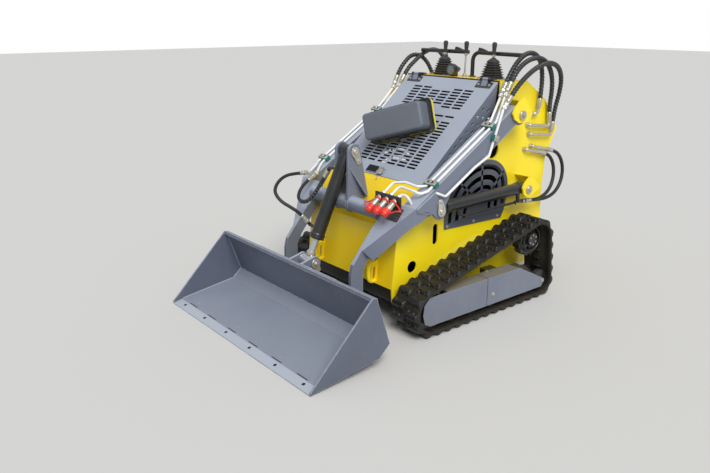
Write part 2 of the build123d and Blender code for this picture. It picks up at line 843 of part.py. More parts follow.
with BuildPart() as drive_sprockets:
    with BuildSketch(across(track_x - sprocket_width / 2)):
        with Locations(drive_centre):
            Circle(drive_reach - wheel_inset)
            with PolarLocations(drive_reach - wheel_inset, sprocket_teeth):
                Circle(sprocket_scallop, mode=Mode.SUBTRACT)
            with PolarLocations(54.0, 6, start_angle=15):
                Circle(14.0, mode=Mode.SUBTRACT)
    extrude(amount=sprocket_width)
    with BuildSketch(across(body_half)):
        with Locations(drive_centre):
            Circle(48.0)
    extrude(amount=track_x - sprocket_width / 2 - body_half)
    with BuildSketch(across(track_x + sprocket_width / 2)):
        with Locations(drive_centre):
            Circle(36.0)
    extrude(amount=22.0)
    mirror(about=Plane.YZ)
pieces["drive_sprockets"] = drive_sprockets.part

# two guard plates on each side, with a seam between them: (outline, shelf's ends, foot's place)
guard_table = (
    (
        (
            (-283.0, guard_ridge), (-318.0, 170.0), (-324.0, 122.0), (-312.0, 78.0), (-277.0, 60.0),
            (guard_seam - 1.0, 58.1), (guard_seam - 1.0, guard_ridge),
        ),
        (-160.0, guard_seam - 1.0),
        -120.0,
    ),
    (
        (
            (guard_seam + 1.0, guard_ridge), (guard_seam + 1.0, 58.1), (570.0, 56.0), (588.0, 78.0), (594.0, 96.0),
            (375.0, guard_ridge),
        ),
        (guard_seam + 1.0, 375.0),
        300.0,
    ),
)
with BuildPart() as track_guards:
    for outline, shelf, foot in guard_table:
        with BuildSketch(across(guard_face - guard_sheet)):
            with BuildLine():
                Polyline(*outline, close=True)
            make_face()
        extrude(amount=guard_sheet)
        with BuildSketch(Plane.XY.offset(guard_ridge - guard_sheet)):
            with Locations(((guard_shelf_x + guard_face - guard_sheet) / 2, (shelf[0] + shelf[1]) / 2)):
                Rectangle(guard_face - guard_sheet - guard_shelf_x, shelf[1] - shelf[0])
        extrude(amount=guard_sheet)
        with BuildSketch(Plane.XY.offset(frame_top + seat_gap)):
            with Locations((guard_shelf_x + 20, foot)):
                Rectangle(30, 40)
        extrude(amount=guard_ridge - 2 - frame_top - seat_gap)
    mirror(about=Plane.YZ)
pieces["track_guards"] = track_guards.part

# ---- loader arms --------------------------------------------------------
slope = math.radians(arm_slope)
arm_run = 800.0
arm_head = (arm_break[0] + arm_run * math.cos(slope), arm_break[1] + arm_run * math.sin(slope))
low_head, low_break = beside(arm_break, arm_head, -arm_depth)[::-1]
arm_heel = (arm_break[0], arm_break[1] - 80.0)
slot_rear = 330.0          # where the bottom plate starts, behind the rod's slot


def arm_top(run, rise=0.0):
    """A point at a distance behind the arm's break, and a rise above its top face, in Y and Z."""
    return (
        arm_break[0] + run * math.cos(slope) - rise * math.sin(slope),
        arm_break[1] + run * math.sin(slope) + rise * math.cos(slope),
    )


with BuildPart() as arm_left:
    # rear box: two side plates, a top plate and, behind the rod's slot, a bottom plate
    for near in (arm_inner, arm_outer - arm_plate):
        with BuildSketch(across(near)):
            with BuildLine():
                Polyline(arm_break, arm_head, low_head, low_break, arm_heel, close=True)
            make_face()
            with Locations(lift_eye):
                Circle(42.0)
            with BuildLine():
                Polyline(
                    (lift_eye[0] - 36, lift_eye[1] + 20), (lift_eye[0] - 60, lift_eye[1] + 60),
                    (lift_eye[0] + 90, lift_eye[1] + 110), (lift_eye[0] + 36, lift_eye[1] + 20),
                    close=True,
                )
            make_face()
            with Locations(arm_pivot):
                Circle(52.0)
            with Locations(lift_eye):
                Circle(cylinder_pin_radius + running_gap, mode=Mode.SUBTRACT)
            with Locations(arm_pivot):
                Circle(arm_pin_radius + running_gap, mode=Mode.SUBTRACT)
        extrude(amount=arm_plate)
    with BuildSketch(across(arm_inner + arm_plate)):
        with BuildLine():
            Polyline(
                arm_break, arm_head, beside(arm_break, arm_head, -arm_plate)[1],
                (arm_break[0], arm_break[1] - arm_plate / math.cos(slope)),
                close=True,
            )
        make_face()
        with BuildLine():
            Polyline(
                along(low_break, low_head, slot_rear), low_head, beside(low_break, low_head, 10.0)[1],
                along(*beside(low_break, low_head, 10.0), slot_rear),
                close=True,
            )
        make_face()
        with Locations(arm_pivot):
            Circle(36)
            Circle(arm_pin_radius + running_gap, mode=Mode.SUBTRACT)
    extrude(amount=arm_outer - arm_inner - 2 * arm_plate)
    # front part: its outer side tapers in towards the leg
    with BuildSketch(across(leg_inner)):
        with BuildLine():
            Polyline(arm_break, arm_knee, (-446.0, 366.0), (-333.0, 508.0), arm_heel, close=True)
        make_face()
    extrude(amount=arm_outer - leg_inner)
    with BuildSketch(Plane.XY):
        with BuildLine():
            Polyline(
                (leg_inner + leg_plate, -700.0), (leg_inner + leg_plate, arm_knee[0] - 4),
                (arm_outer, arm_break[0]), (arm_outer + 60, arm_break[0]), (arm_outer + 60, -700.0),
                close=True,
            )
        make_face()
    extrude(amount=900, mode=Mode.SUBTRACT)
    # leg plate
    with BuildSketch(across(leg_inner)):
        with BuildLine():
            Polyline(
                arm_knee, (leg_front + 12, 352.0), (leg_front, 300.0), (leg_front, attach_pivot[1]),
                (leg_rear, attach_pivot[1]), (leg_rear, 312.0), (-446.0, 366.0), (-380.0, 450.0), (-400.0, 515.0),
                close=True,
            )
        make_face()
        with Locations(attach_pivot):
            Circle(36)
        with Locations(attach_pivot):
            Circle(arm_pin_radius + running_gap, mode=Mode.SUBTRACT)
    extrude(amount=leg_plate)
    # doubler plate outside the rod's eye
    with BuildSketch(across(arm_outer)):
        with BuildLine():
            Polyline(
                (-297.0, 616.0), (-184.0, 678.0), (-111.0, 590.0), (-108.0, 572.0), (-122.0, 554.0),
                (-153.0, 550.0), (-190.0, 574.0), (-218.0, 590.0), (-245.0, 598.0), (-290.0, 598.0),
                close=True,
            )
        make_face()
        with Locations(lift_eye):
            Circle(cylinder_pin_radius + running_gap, mode=Mode.SUBTRACT)
    extrude(amount=doubler)
    # where the third line goes into the arm
    with BuildSketch(across(arm_outer - arm_plate)):
        with Locations(side_line_end):
            Circle(line_diameter / 2 + running_gap)
    extrude(amount=arm_plate + doubler, mode=Mode.SUBTRACT)
pieces["arm_left"] = arm_left.part
pieces["arm_right"] = mirror(arm_left.part, about=Plane.YZ)

with BuildPart() as cross_tube:
    with BuildSketch(across(-leg_inner)):
        with Locations(cross_tube_centre):
            Circle(cross_tube_radius)
            Circle(cross_tube_radius - 8, mode=Mode.SUBTRACT)
    extrude(amount=2 * leg_inner)
pieces["cross_tube"] = cross_tube.part

tilt_ear = tilt_eye_width / 2 + moving_gap
tilt_ear_plate = 14.0
with BuildPart() as tilt_bracket:
    with BuildSketch(across(tilt_ear)):
        with BuildLine():
            Polyline(
                (-381.0, 828.0), (-388.0, 618.0), (-385.0, 573.0), (-262.0, 597.0), (-258.0, 612.0), (-308.0, 848.0),
                close=True,
            )
        make_face()
        with Locations(tilt_top):
            Circle(38)
        with Locations(tilt_top):
            Circle(cylinder_pin_radius + running_gap, mode=Mode.SUBTRACT)
        with Locations(cross_tube_centre):
            Circle(cross_tube_radius + running_gap, mode=Mode.SUBTRACT)
    extrude(amount=tilt_ear_plate)
    mirror(about=Plane.YZ)
    # rib between the plates, and a folded gusset behind them
    with BuildSketch(across(-tilt_ear)):
        with Locations((-287.0, 640.0)):
            Rectangle(10, 70)
    extrude(amount=2 * tilt_ear)
pieces["tilt_bracket"] = tilt_bracket.part

with BuildPart() as arm_cylinder_pins:
    with BuildSketch(across(-tilt_ear - tilt_ear_plate - 4)):
        with Locations(tilt_top):
            Circle(cylinder_pin_radius)
    extrude(amount=2 * (tilt_ear + tilt_ear_plate + 4))
    # locking plate on the tilt pin's head
    with BuildSketch(across(tilt_ear + tilt_ear_plate)):
        with Locations((tilt_top[0] + 12, tilt_top[1] - 26)):
            SlotCenterToCenter(54, 32, rotation=-65)
    extrude(amount=5)
    # short pins through each arm wall, with a locking plate outside
    with BuildSketch(across(arm_inner - 4)):
        with Locations(lift_eye):
            Circle(cylinder_pin_radius)
    inner_stub = extrude(amount=arm_plate + 4)
    with BuildSketch(across(arm_outer - arm_plate)):
        with Locations(lift_eye):
            Circle(cylinder_pin_radius)
    outer_stub = extrude(amount=arm_plate + doubler)
    with BuildSketch(across(arm_outer + doubler)):
        with Locations((lift_eye[0] - 4, lift_eye[1] + 22)):
            SlotCenterToCenter(45, 30, rotation=100)
    keeper = extrude(amount=5)
    for stub in (inner_stub, outer_stub, keeper):
        mirror(stub, about=Plane.YZ)
pieces["arm_cylinder_pins"] = arm_cylinder_pins.part

# ---- cylinders ----------------------------------------------------------
def cylinder_plane(x, origin, target):
    """Plane at an eye, whose normal points along the cylinder towards the other eye."""
    heading = (0, target[0] - origin[0], target[1] - origin[1])
    return Plane(origin=(x, origin[0], origin[1]), x_dir=(1, 0, 0), z_dir=heading)


def barrel(x, base, eye, length, radius, rod_radius, eye_width, eye_radius, pin_radius):
    """Cylinder barrel: a base eye, a tube closed behind, a gland in front, bored for the rod."""
    start = cylinder_plane(x, base, eye)
    with BuildPart() as made:
        with BuildSketch(across(x - eye_width / 2)):
            with Locations(base):
                Circle(eye_radius)
        extrude(amount=eye_width)
        with BuildSketch(start.offset(eye_radius - 12)):
            Circle(radius - 4)
        extrude(amount=24)
        with BuildSketch(start.offset(eye_radius + 8)):
            Circle(radius)
        extrude(amount=length - eye_radius - 8 - gland_length)
        with BuildSketch(start.offset(length - gland_length)):
            Circle(radius + 2.5)
        extrude(amount=gland_length)
        with BuildSketch(start.offset(eye_radius + 40)):
            Circle(rod_radius + 0.5)
        extrude(amount=length, mode=Mode.SUBTRACT)
        with BuildSketch(across(x - eye_width / 2)):
            with Locations(base):
                Circle(pin_radius + running_gap)
        extrude(amount=eye_width, mode=Mode.SUBTRACT)
    return made.part


def piston_rod(x, base, eye, inside, radius, eye_width, eye_radius, pin_radius):
    """Rod with its eye: it reaches back into the barrel by the inside length."""
    start = cylinder_plane(x, base, eye)
    with BuildPart() as made:
        with BuildSketch(across(x - eye_width / 2)):
            with Locations(eye):
                Circle(eye_radius)
        extrude(amount=eye_width)
        with BuildSketch(start.offset(math.dist(base, eye) - inside)):
            Circle(radius)
        extrude(amount=inside - eye_radius + 8)
        with BuildSketch(across(x - eye_width / 2)):
            with Locations(eye):
                Circle(pin_radius + running_gap)
        extrude(amount=eye_width, mode=Mode.SUBTRACT)
    return made.part


lift_sizes = (lift_x, lift_base, lift_eye)
with BuildPart() as lift_barrel_left:
    add(
        barrel(
            *lift_sizes, lift_barrel_length, lift_barrel_radius, lift_rod_radius, lift_eye_width, 30.0,
            cylinder_pin_radius,
        )
    )
    # the pipe under the barrel, from the gland's port to a union behind the base, and the base's own port
    add(pipe(gland_pipe))
    add(collar(gland_pipe[0], gland_pipe[1], 10.5, 0))
    add(collar(gland_pipe[-2], gland_pipe[-1], coupling_radius))
    add(pipe(base_pipe))
    add(collar(base_pipe[0], base_pipe[1], 10.5, 0))
    add(collar(base_pipe[-2], base_pipe[-1], coupling_radius))
pieces["lift_barrel_left"] = lift_barrel_left.part
pieces["lift_barrel_right"] = mirror(lift_barrel_left.part, about=Plane.YZ)
pieces["lift_rod_left"] = piston_rod(
    *lift_sizes, lift_rod_inside, lift_rod_radius, lift_eye_width, 28.0, cylinder_pin_radius
)
pieces["lift_rod_right"] = mirror(pieces["lift_rod_left"], about=Plane.YZ)
with BuildPart() as tilt_barrel:
    add(
        barrel(
            0.0, tilt_top, tilt_low, tilt_barrel_length, tilt_barrel_radius, tilt_rod_radius, tilt_eye_width, 30.0,
            cylinder_pin_radius,
        )
    )
    # a bent stub at each end, towards the machine's right side
    for stub in (gland_stub, base_stub):
        add(pipe(stub, 15.0, 12.0))
        add(collar(stub[-2], stub[-1], 9.5))
pieces["tilt_barrel"] = tilt_barrel.part
pieces["tilt_rod"] = piston_rod(
    0.0, tilt_top, tilt_low, tilt_rod_inside, tilt_rod_radius, tilt_eye_width, 30.0, cylinder_pin_radius
)

# ---- attach plate and bucket -------------------------------------------
back_rise = math.dist(bucket_top_rear, bucket_back_low)
attach_top = along(bucket_back_low, bucket_top_rear, back_rise - 12)
attach_face = beside(bucket_back_low, attach_top, -seat_gap)
attach_rear = beside(bucket_back_low, attach_top, -seat_gap - 12)
notch_front = beside(bucket_back_low, attach_top, 5)
notch_rear = beside(bucket_back_low, attach_top, -40)
attach_ear_places = (leg_inner - moving_gap - 12, leg_inner + leg_plate + moving_gap)
with BuildPart() as attach_plate:
    with BuildSketch(across(-330.0)):
        with BuildLine():
            Polyline(attach_face[0], attach_face[1], attach_rear[1], attach_rear[0], close=True)
        make_face()
    extrude(amount=660.0)
    # notch behind the tilt cylinder's rod eye
    with BuildSketch(across(-tilt_ear + 3)):
        with BuildLine():
            Polyline(
                along(*notch_front, 130), along(*notch_front, 300), along(*notch_rear, 300), along(*notch_rear, 130),
                close=True,
            )
        make_face()
    extrude(amount=2 * tilt_ear - 6, mode=Mode.SUBTRACT)
    for near in attach_ear_places:
        with BuildSketch(across(near)):
            with BuildLine():
                Polyline(
                    along(*attach_rear, 4), along(*attach_rear, 130),
                    (attach_pivot[0] + 4, attach_pivot[1] + 34), (attach_pivot[0] + 4, attach_pivot[1] - 34),
                    close=True,
                )
            make_face()
            with Locations(attach_pivot):
                Circle(34)
            with Locations(attach_pivot):
                Circle(arm_pin_radius + running_gap, mode=Mode.SUBTRACT)
        attach_ear = extrude(amount=12)
        mirror(attach_ear, about=Plane.YZ)
    with BuildSketch(across(tilt_ear)):
        with BuildLine():
            Polyline(
                along(*attach_rear, 90), along(*attach_rear, back_rise - 14),
                (tilt_low[0] + 2, tilt_low[1] + 34), (tilt_low[0] + 14, tilt_low[1] - 30),
                close=True,
            )
        make_face()
        with Locations(tilt_low):
            Circle(34)
        with Locations(tilt_low):
            Circle(cylinder_pin_radius + running_gap, mode=Mode.SUBTRACT)
    rod_ear = extrude(amount=tilt_ear_plate)
    mirror(rod_ear, about=Plane.YZ)
pieces["attach_plate"] = attach_plate.part

with BuildPart() as attach_pins:
    with BuildSketch(across(leg_inner - moving_gap - 16)):
        with Locations(attach_pivot):
            Circle(arm_pin_radius)
    extrude(amount=leg_plate + 2 * moving_gap + 32)
    with BuildSketch(across(tilt_ear)):
        with Locations(tilt_low):
            Circle(cylinder_pin_radius)
    extrude(amount=20)
    with BuildSketch(across(tilt_ear + tilt_ear_plate)):
        with Locations(along(tilt_low, attach_pivot, 18)):
            SlotCenterToCenter(36, 30, rotation=-64)
    extrude(amount=5)
    mirror(about=Plane.YZ)
pieces["attach_pins"] = attach_pins.part

with BuildPart() as bucket:
    with BuildSketch(across(-bucket_half)):
        with BuildLine():
            Polyline(
                bucket_lip, bucket_heel, bucket_back_low, bucket_top_rear, bucket_top,
                (bucket_top[0] - 4, bucket_top[1] - 14), (bucket_top_rear[0] - 10, bucket_top_rear[1] - 12),
                (bucket_back_low[0] - 9, bucket_back_low[1] + 2), (bucket_heel[0] - 3, bucket_heel[1] + 9),
                (bucket_lip[0] + 60, bucket_lip[1] + 16), (bucket_lip[0], bucket_lip[1] + 3),
                close=True,
            )
        make_face()
    extrude(amount=2 * bucket_half)
    for near in (-bucket_half, bucket_half - bucket_plate):
        with BuildSketch(across(near)):
            with BuildLine():
                Polyline(
                    bucket_lip, bucket_heel, bucket_back_low, bucket_top_rear, bucket_top,
                    (bucket_lip[0] + 2, bucket_lip[1] + 12),
                    close=True,
                )
            make_face()
        extrude(amount=bucket_plate)
    # bolt holes for a bolt-on cutting edge
    with BuildSketch(Plane.XY.offset(-1.0)):
        with Locations((0, bucket_lip[0] + 92)):
            with GridLocations(edge_hole_pitch, 1, edge_holes, 1):
                Circle(edge_hole)
    extrude(amount=60, mode=Mode.SUBTRACT)
pieces["bucket"] = bucket.part

# ---- hood ---------------------------------------------------------------
hood_low = beside(hood_front, hood_edge, -hood_sheet)
flange_low = beside(hood_front, hood_edge, -hood_flange)
hood_normal = Vector(0, hood_front[1] - hood_edge[1], hood_edge[0] - hood_front[0])
hood_plane = Plane(origin=(0, *hood_front), x_dir=(1, 0, 0), z_dir=hood_normal)
with BuildPart() as hood:
    with BuildSketch(across(-hood_half)):
        with BuildLine():
            Polyline(hood_front, hood_edge, hood_low[1], hood_low[0], close=True)
        make_face()
    extrude(amount=2 * hood_half)
    for near in (-hood_half, hood_half - hood_sheet):
        with BuildSketch(across(near)):
            with BuildLine():
                Polyline(hood_front, hood_edge, along(*flange_low, 600), along(*flange_low, 50), close=True)
            make_face()
        extrude(amount=hood_sheet)
    # rows of slots through the top
    with BuildSketch(hood_plane.offset(1.0)):
        for first, last, columns in hood_rows:
            for row in range(first, last + 1):
                for column in columns:
                    with Locations((hood_columns[column], hood_first_row + row * hood_row_pitch)):
                        Rectangle(*hood_slot)
    extrude(amount=-hood_sheet - 2, mode=Mode.SUBTRACT)
    # rows of slots through both sides
    with BuildSketch(Plane.YZ.offset(-hood_half - 1)):
        for depth, first, number in flange_rows:
            for place in range(number):
                with Locations(along(*beside(hood_front, hood_edge, -depth), first + place * flange_pitch)):
                    Rectangle(*flange_slot, rotation=hood_slope)
    extrude(amount=2 * hood_half + 2, mode=Mode.SUBTRACT)
    for place in hinge_places:
        with BuildSketch(across(place - 17)):
            with Locations(hood_hinge):
                Circle(hinge_knuckle)
            with BuildLine():
                Polyline(
                    along(hood_edge, hood_front, 2), along(hood_edge, hood_front, 40),
                    (hood_hinge[0] - 8, hood_hinge[1] - 4), hood_hinge,
                    close=True,
                )
            make_face()
            with Locations(hood_hinge):
                Circle(hinge_pin_radius + running_gap, mode=Mode.SUBTRACT)
        extrude(amount=34)
    # toggle latch at the front edge, with its recess plate
    with BuildSketch(hood_plane):
        with Locations((latch_x - 52.0, 32.0)):
            RectangleRounded(84, 44, 8)
        with Locations((latch_x + 22.0, 30.0)):
            RectangleRounded(44, 34, 6)
    extrude(amount=5)
    with BuildSketch(hood_plane.offset(5)):
        with Locations((latch_x + 22.0, 24.0)):
            RectangleRounded(30, 44, 6)
    extrude(amount=9)
pieces["hood"] = hood.part
with BuildPart() as hood_hinges:
    for place in hinge_places:
        with BuildSketch(across(place - 32)):
            with Locations(hood_hinge):
                Circle(hinge_pin_radius)
        extrude(amount=64)
        for near in (place - 34, place + 20):
            with BuildSketch(across(near)):
                with Locations(hood_hinge):
                    Circle(hinge_knuckle)
                with BuildLine():
                    Polyline(
                        hood_hinge, (hood_hinge[0], hood_hinge[1] + hinge_knuckle),
                        (tower_front[0] + 34, tower_front[1] + 6), (tower_front[0] + 34, tower_front[1] - 0.9),
                        (tower_front[0] + 1, tower_front[1] + seat_gap + 0.2),
                        close=True,
                    )
                make_face()
            extrude(amount=14)
pieces["hood_hinges"] = hood_hinges.part

cleaner_plane = Plane(origin=cleaner_face, x_dir=cleaner_long, z_dir=cleaner_rear)
cleaner_length, cleaner_width, cleaner_depth = cleaner_size
with BuildPart() as air_cleaner:
    with BuildSketch(cleaner_plane):
        RectangleRounded(cleaner_length, cleaner_width, cleaner_round)
    extrude(amount=cleaner_depth)
    front_face = air_cleaner.faces().sort_by(Axis(cleaner_plane.origin, cleaner_plane.z_dir))[0]
    fillet(front_face.edges(), cleaner_edge)
    with BuildSketch(cleaner_plane.offset(cleaner_depth)):
        RectangleRounded(cleaner_base[0], cleaner_base[1], cleaner_round)
    extrude(amount=cleaner_base[2])
    # duct behind it, cut off along the hood
    with BuildSketch(cleaner_plane.offset(cleaner_depth + cleaner_base[2])):
        RectangleRounded(cleaner_stand[0], cleaner_stand[1], 14)
    extrude(amount=cleaner_stand[2])
    with BuildSketch(hood_plane.offset(seat_gap)):
        with Locations((0, 350)):
            Rectangle(1200, 1200)
    extrude(amount=-400, mode=Mode.SUBTRACT)
pieces["air_cleaner"] = air_cleaner.part

# ---- rear tie-down ears -------------------------------------------------
with BuildPart() as rear_tie_downs:
    with BuildSketch(across(tie_ear_x)):
        with BuildLine():
            Polyline(
                (rear_face + seat_gap, 232.0), (tie_ear_hole[0], 240.0), (tie_ear_hole[0], 300.0),
                (rear_face + seat_gap, 312.0),
                close=True,
            )
        make_face()
        with Locations(tie_ear_hole):
            Circle(30)
            Circle(tie_ear_bore, mode=Mode.SUBTRACT)
    extrude(amount=12)
    mirror(about=Plane.YZ)
pieces["rear_tie_downs"] = rear_tie_downs.part

# ---- operator's platform ------------------------------------------------
with BuildPart() as platform:
    with BuildSketch(Plane.XY.offset(platform_hinge[1])):
        with Locations((0, (platform_hinge[0] + 14 + platform_tail) / 2)):
            Rectangle(2 * platform_half, platform_tail - platform_hinge[0] - 14)
    extrude(amount=platform_sheet)
    with BuildSketch(across(platform_half - 8)):
        with BuildLine():
            Polyline(
                (platform_hinge[0], platform_hinge[1] - 12), (platform_tail, platform_hinge[1] - 12),
                (platform_tail, platform_hinge[1] + platform_sheet), (platform_hinge[0], platform_hinge[1] + 12),
                close=True,
            )
        make_face()
        with Locations(platform_hinge):
            Circle(12)
        with Locations(platform_hinge):
            Circle(8 + running_gap, mode=Mode.SUBTRACT)
    cheek = extrude(amount=8)
    mirror(cheek, about=Plane.YZ)
pieces["platform"] = platform.part
with BuildPart() as platform_hinge_ears:
    with BuildSketch(across(platform_half + moving_gap)):
        with BuildLine():
            Polyline(
                (rear_face + seat_gap, 142.0), (platform_hinge[0], 144.0), (platform_hinge[0], 176.0),
                (rear_face + seat_gap, 200.0),
                close=True,
            )
        make_face()
        with Locations(platform_hinge):
            Circle(16)
    extrude(amount=10)
    with BuildSketch(across(platform_half - 12)):
        with Locations(platform_hinge):
            Circle(8)
    extrude(amount=moving_gap + 12)
    mirror(about=Plane.YZ)
pieces["platform_hinge_ears"] = platform_hinge_ears.part
with BuildPart() as knee_pad:
    with BuildSketch(Plane.XZ.offset(-(pad_face + seat_gap))):
        with Locations((0, 617)):
            RectangleRounded(520, 180, 40)
    extrude(amount=-36)
pieces["knee_pad"] = knee_pad.part

# ---- hydraulic lines on the arms ---------------------------------------
with BuildPart() as hard_lines:
    for line in (*arm_lines, outer_line_end):
        add(pipe(line))
    # unions where the hoses start
    for end, origin in line_unions:
        start = along(end, origin, union_length)
        add(collar(start, end, coupling_radius, 0))
        add(collar(start, along(start, end, 14.0), 12.5))
pieces["hard_lines"] = hard_lines.part

with BuildPart() as line_clamps:
    for run in clamp_runs:
        with BuildSketch(
            Plane(
                origin=(0, *arm_top(run)), x_dir=(-1, 0, 0), z_dir=(0, math.cos(slope), math.sin(slope))
            )
        ):
            with Locations((-(line_places[0] + line_places[1]) / 2, 12.5)):
                RectangleRounded(72, 24, 4)
            for place in line_places:
                with Locations((-place, line_rise)):
                    Circle(line_diameter / 2 + running_gap, mode=Mode.SUBTRACT)
        extrude(amount=clamp_length)
    mirror(about=Plane.YZ)
    with BuildSketch(Plane(origin=side_clamp, x_dir=(1, 0, 0), z_dir=side_clamp_heading)):
        with Locations(((arm_outer + seat_gap + 475.0) / 2 - side_line_x, 0)):
            Rectangle(475.0 - arm_outer - seat_gap, 30)
        Circle(line_diameter / 2 + running_gap, mode=Mode.SUBTRACT)
    extrude(amount=clamp_length)
pieces["line_clamps"] = line_clamps.part

# ---- quick couplers on the left arm --------------------------------------
coupler_heading = (0, -math.cos(math.radians(coupler_fall)), -math.sin(math.radians(coupler_fall)))
coupler_planes = [
    Plane(origin=(place, *coupler_rear), x_dir=(1, 0, 0), z_dir=coupler_heading) for place in coupler_places
]
knee_run = math.dist(arm_break, arm_knee)
foot_low = beside(arm_break, arm_knee, -seat_gap)
foot_high = beside(arm_break, arm_knee, -seat_gap - 6)
with BuildPart() as coupler_bracket:
    with BuildSketch(Plane.XZ.offset(bracket_y)):
        with Locations((311.0, 644.0)):
            Rectangle(178, 56)
        with Locations((353.0, 598.0)):
            Rectangle(70, 48)
    extrude(amount=6)
    with BuildSketch(across(318.0)):
        with BuildLine():
            Polyline(
                along(*foot_low, 22), along(*foot_low, 88), along(*foot_high, 88), along(*foot_high, 22),
                close=True,
            )
        make_face()
    extrude(amount=70)
    for plane in coupler_planes:
        with BuildSketch(plane.offset(-20)):
            Circle(coupler_hole)
        extrude(amount=160, mode=Mode.SUBTRACT)
pieces["coupler_bracket"] = coupler_bracket.part
with BuildPart() as quick_couplers:
    for plane in coupler_planes:
        for start, length, radius, sides in coupler_table:
            with BuildSketch(plane.offset(start)):
                if sides:
                    RegularPolygon(radius, sides)
                else:
                    Circle(radius)
            extrude(amount=length)
pieces["quick_couplers"] = quick_couplers.part
with BuildPart() as coupler_caps:
    for plane in coupler_planes:
        for start, length, radius in cap_table:
            with BuildSketch(plane.offset(start)):
                Circle(radius)
            extrude(amount=length)
pieces["coupler_caps"] = coupler_caps.part

# ---- fittings on the side plates -----------------------------------------
with BuildPart() as hose_fittings:
    for side, place, hose, straight in side_fittings:
        stand = side * (body_half + fitting_stand)
        if hose and straight >= 100.0:
            place = before(hoses[hose][1][::-1], straight)[1:]
        bulkhead = (side * (body_half + seat_gap), *place)
        route = [bulkhead, (stand, *place)]
        if hose:
            hose_end = hoses[hose][1][::-1]
            if straight < 100.0:
                route.append(before(hose_end, straight))
            route.append(hose_end[0])
        else:
            route.append((stand, place[0] + straight, place[1] - 0.23 * straight))
        add(pipe(route, fitting_diameter, 10.0))
        add(collar(bulkhead, along(bulkhead, route[1], 10.0), 14.0))
        add(collar(along(route[-1], route[-2], 14.0), route[-1], 12.5))
pieces["hose_fittings"] = hose_fittings.part

# ---- hoses ---------------------------------------------------------------
for name, (diameter, route) in hoses.items():
    radii = corner_radii(route)
    hose = tube_along(route, diameter, radii)
    section = math.pi * diameter ** 2 / 4
    pieces[name] = hose
    print(
        name, "length", round(hose.volume / section), "volume", round(hose.volume / 1000), "cm3,",
        "radii in diameters", " ".join(f"{radius / diameter:.1f}" for radius in radii),
    )

# ---- controls ------------------------------------------------------------
deck_fall = math.atan2(tower_front[1] - tower_rear[1], tower_rear[0] - tower_front[0])
deck_normal = (0, math.sin(deck_fall), math.cos(deck_fall))


def on_deck(x, y):
    """Plane on the console's top at a place, with its normal upright to the sheet."""
    drop = (y - tower_front[0]) * math.tan(deck_fall)
    return Plane(origin=(x, y, tower_front[1] - drop), x_dir=(1, 0, 0), z_dir=deck_normal).offset(seat_gap)


with BuildPart() as control_levers:
    rib = boot_height / boot_ribs
    for place in boot_places:
        deck = on_deck(place, lever_y)
        for step in range(boot_ribs):
            width = boot_width - step * boot_step
            with BuildSketch(deck.offset(step * rib)):
                RectangleRounded(width, width, 8)
            extrude(amount=rib * 0.4)
            with BuildSketch(deck.offset(step * rib)):
                RectangleRounded(width - boot_step - 4, width - boot_step - 4, 6)
            extrude(amount=rib)
    for place in (*boot_places, middle_lever):
        deck = on_deck(place, lever_y)
        with BuildSketch(deck):
            Circle(9.0)
        extrude(amount=10)
        with BuildSketch(deck):
            Circle(4.5)
        extrude(amount=knob_top - knob_length + 5)
        with BuildSketch(deck.offset(knob_top - knob_length)):
            Circle(9.0)
        extrude(amount=knob_length - 12, taper=-4.5)
        with BuildSketch(deck.offset(knob_top - 12)):
            Circle(12.9)
        extrude(amount=12, taper=28)
pieces["control_levers"] = control_levers.part

with BuildPart() as grab_bars:
    # right bar: rises from the console and bends outwards
    foot = on_deck(right_bar_x, bar_y)
    add(
        tube_along(
            [tuple(foot.offset(3).origin), (right_bar_x, bar_y, bar_z), (right_bar_end, bar_y, bar_z - 4)],
            2 * bar_radius,
            [46.0],
        )
    )
    with BuildSketch(foot):
        Circle(20)
    extrude(amount=5)
    # left bar: open at its end, on a strut that leans back to the console
    with BuildSketch(across(left_bar[0])):
        with Locations((bar_y, bar_z)):
            Circle(bar_radius)
    extrude(amount=left_bar[1] - left_bar[0])
    strut_foot = on_deck(left_strut_x, bar_y + 40)
    add(collar(tuple(strut_foot.offset(3.5).origin), (left_strut_x, bar_y, bar_z), 8.0, 0))
    with BuildSketch(strut_foot):
        Circle(14)
    extrude(amount=5)
    # thumb paddle on each bar
    for paddle in paddle_places:
        with BuildSketch(Plane.XZ.offset(-bar_y - 6)):
            with BuildLine():
                Polyline(
                    (paddle, bar_z + 6), (paddle + 6, bar_z + 26), (paddle + 20, bar_z + 24),
                    (paddle + 60, bar_z + 12), (paddle + 60, bar_z + 2),
                    close=True,
                )
            make_face()
        extrude(amount=12)
pieces["grab_bars"] = grab_bars.part

with BuildPart() as work_lamp:
    with BuildSketch(Plane.XZ.offset(-lamp_centre[1])):
        with Locations((lamp_centre[0], lamp_centre[2])):
            Circle(lamp_radius)
    extrude(amount=-22)
    with BuildSketch(Plane.XZ.offset(-lamp_centre[1] - 22)):
        with Locations((lamp_centre[0], lamp_centre[2])):
            Circle(lamp_radius)
    extrude(amount=-46, taper=24)
    # shallow recess for the lens
    with BuildSketch(Plane.XZ.offset(-lamp_centre[1])):
        with Locations((lamp_centre[0], lamp_centre[2])):
            Circle(lamp_radius - 5)
    extrude(amount=-5, mode=Mode.SUBTRACT)
    with BuildSketch(on_deck(lamp_centre[0], lamp_centre[1] + 30)):
        Rectangle(24, 30)
    extrude(amount=22)
pieces["work_lamp"] = work_lamp.part

os.makedirs("parts", exist_ok=True)
for name, part in pieces.items():
    part.label = name
    export_step(part, f"parts/{name}.step")
print(len(pieces), "pieces")
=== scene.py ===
import json
import math

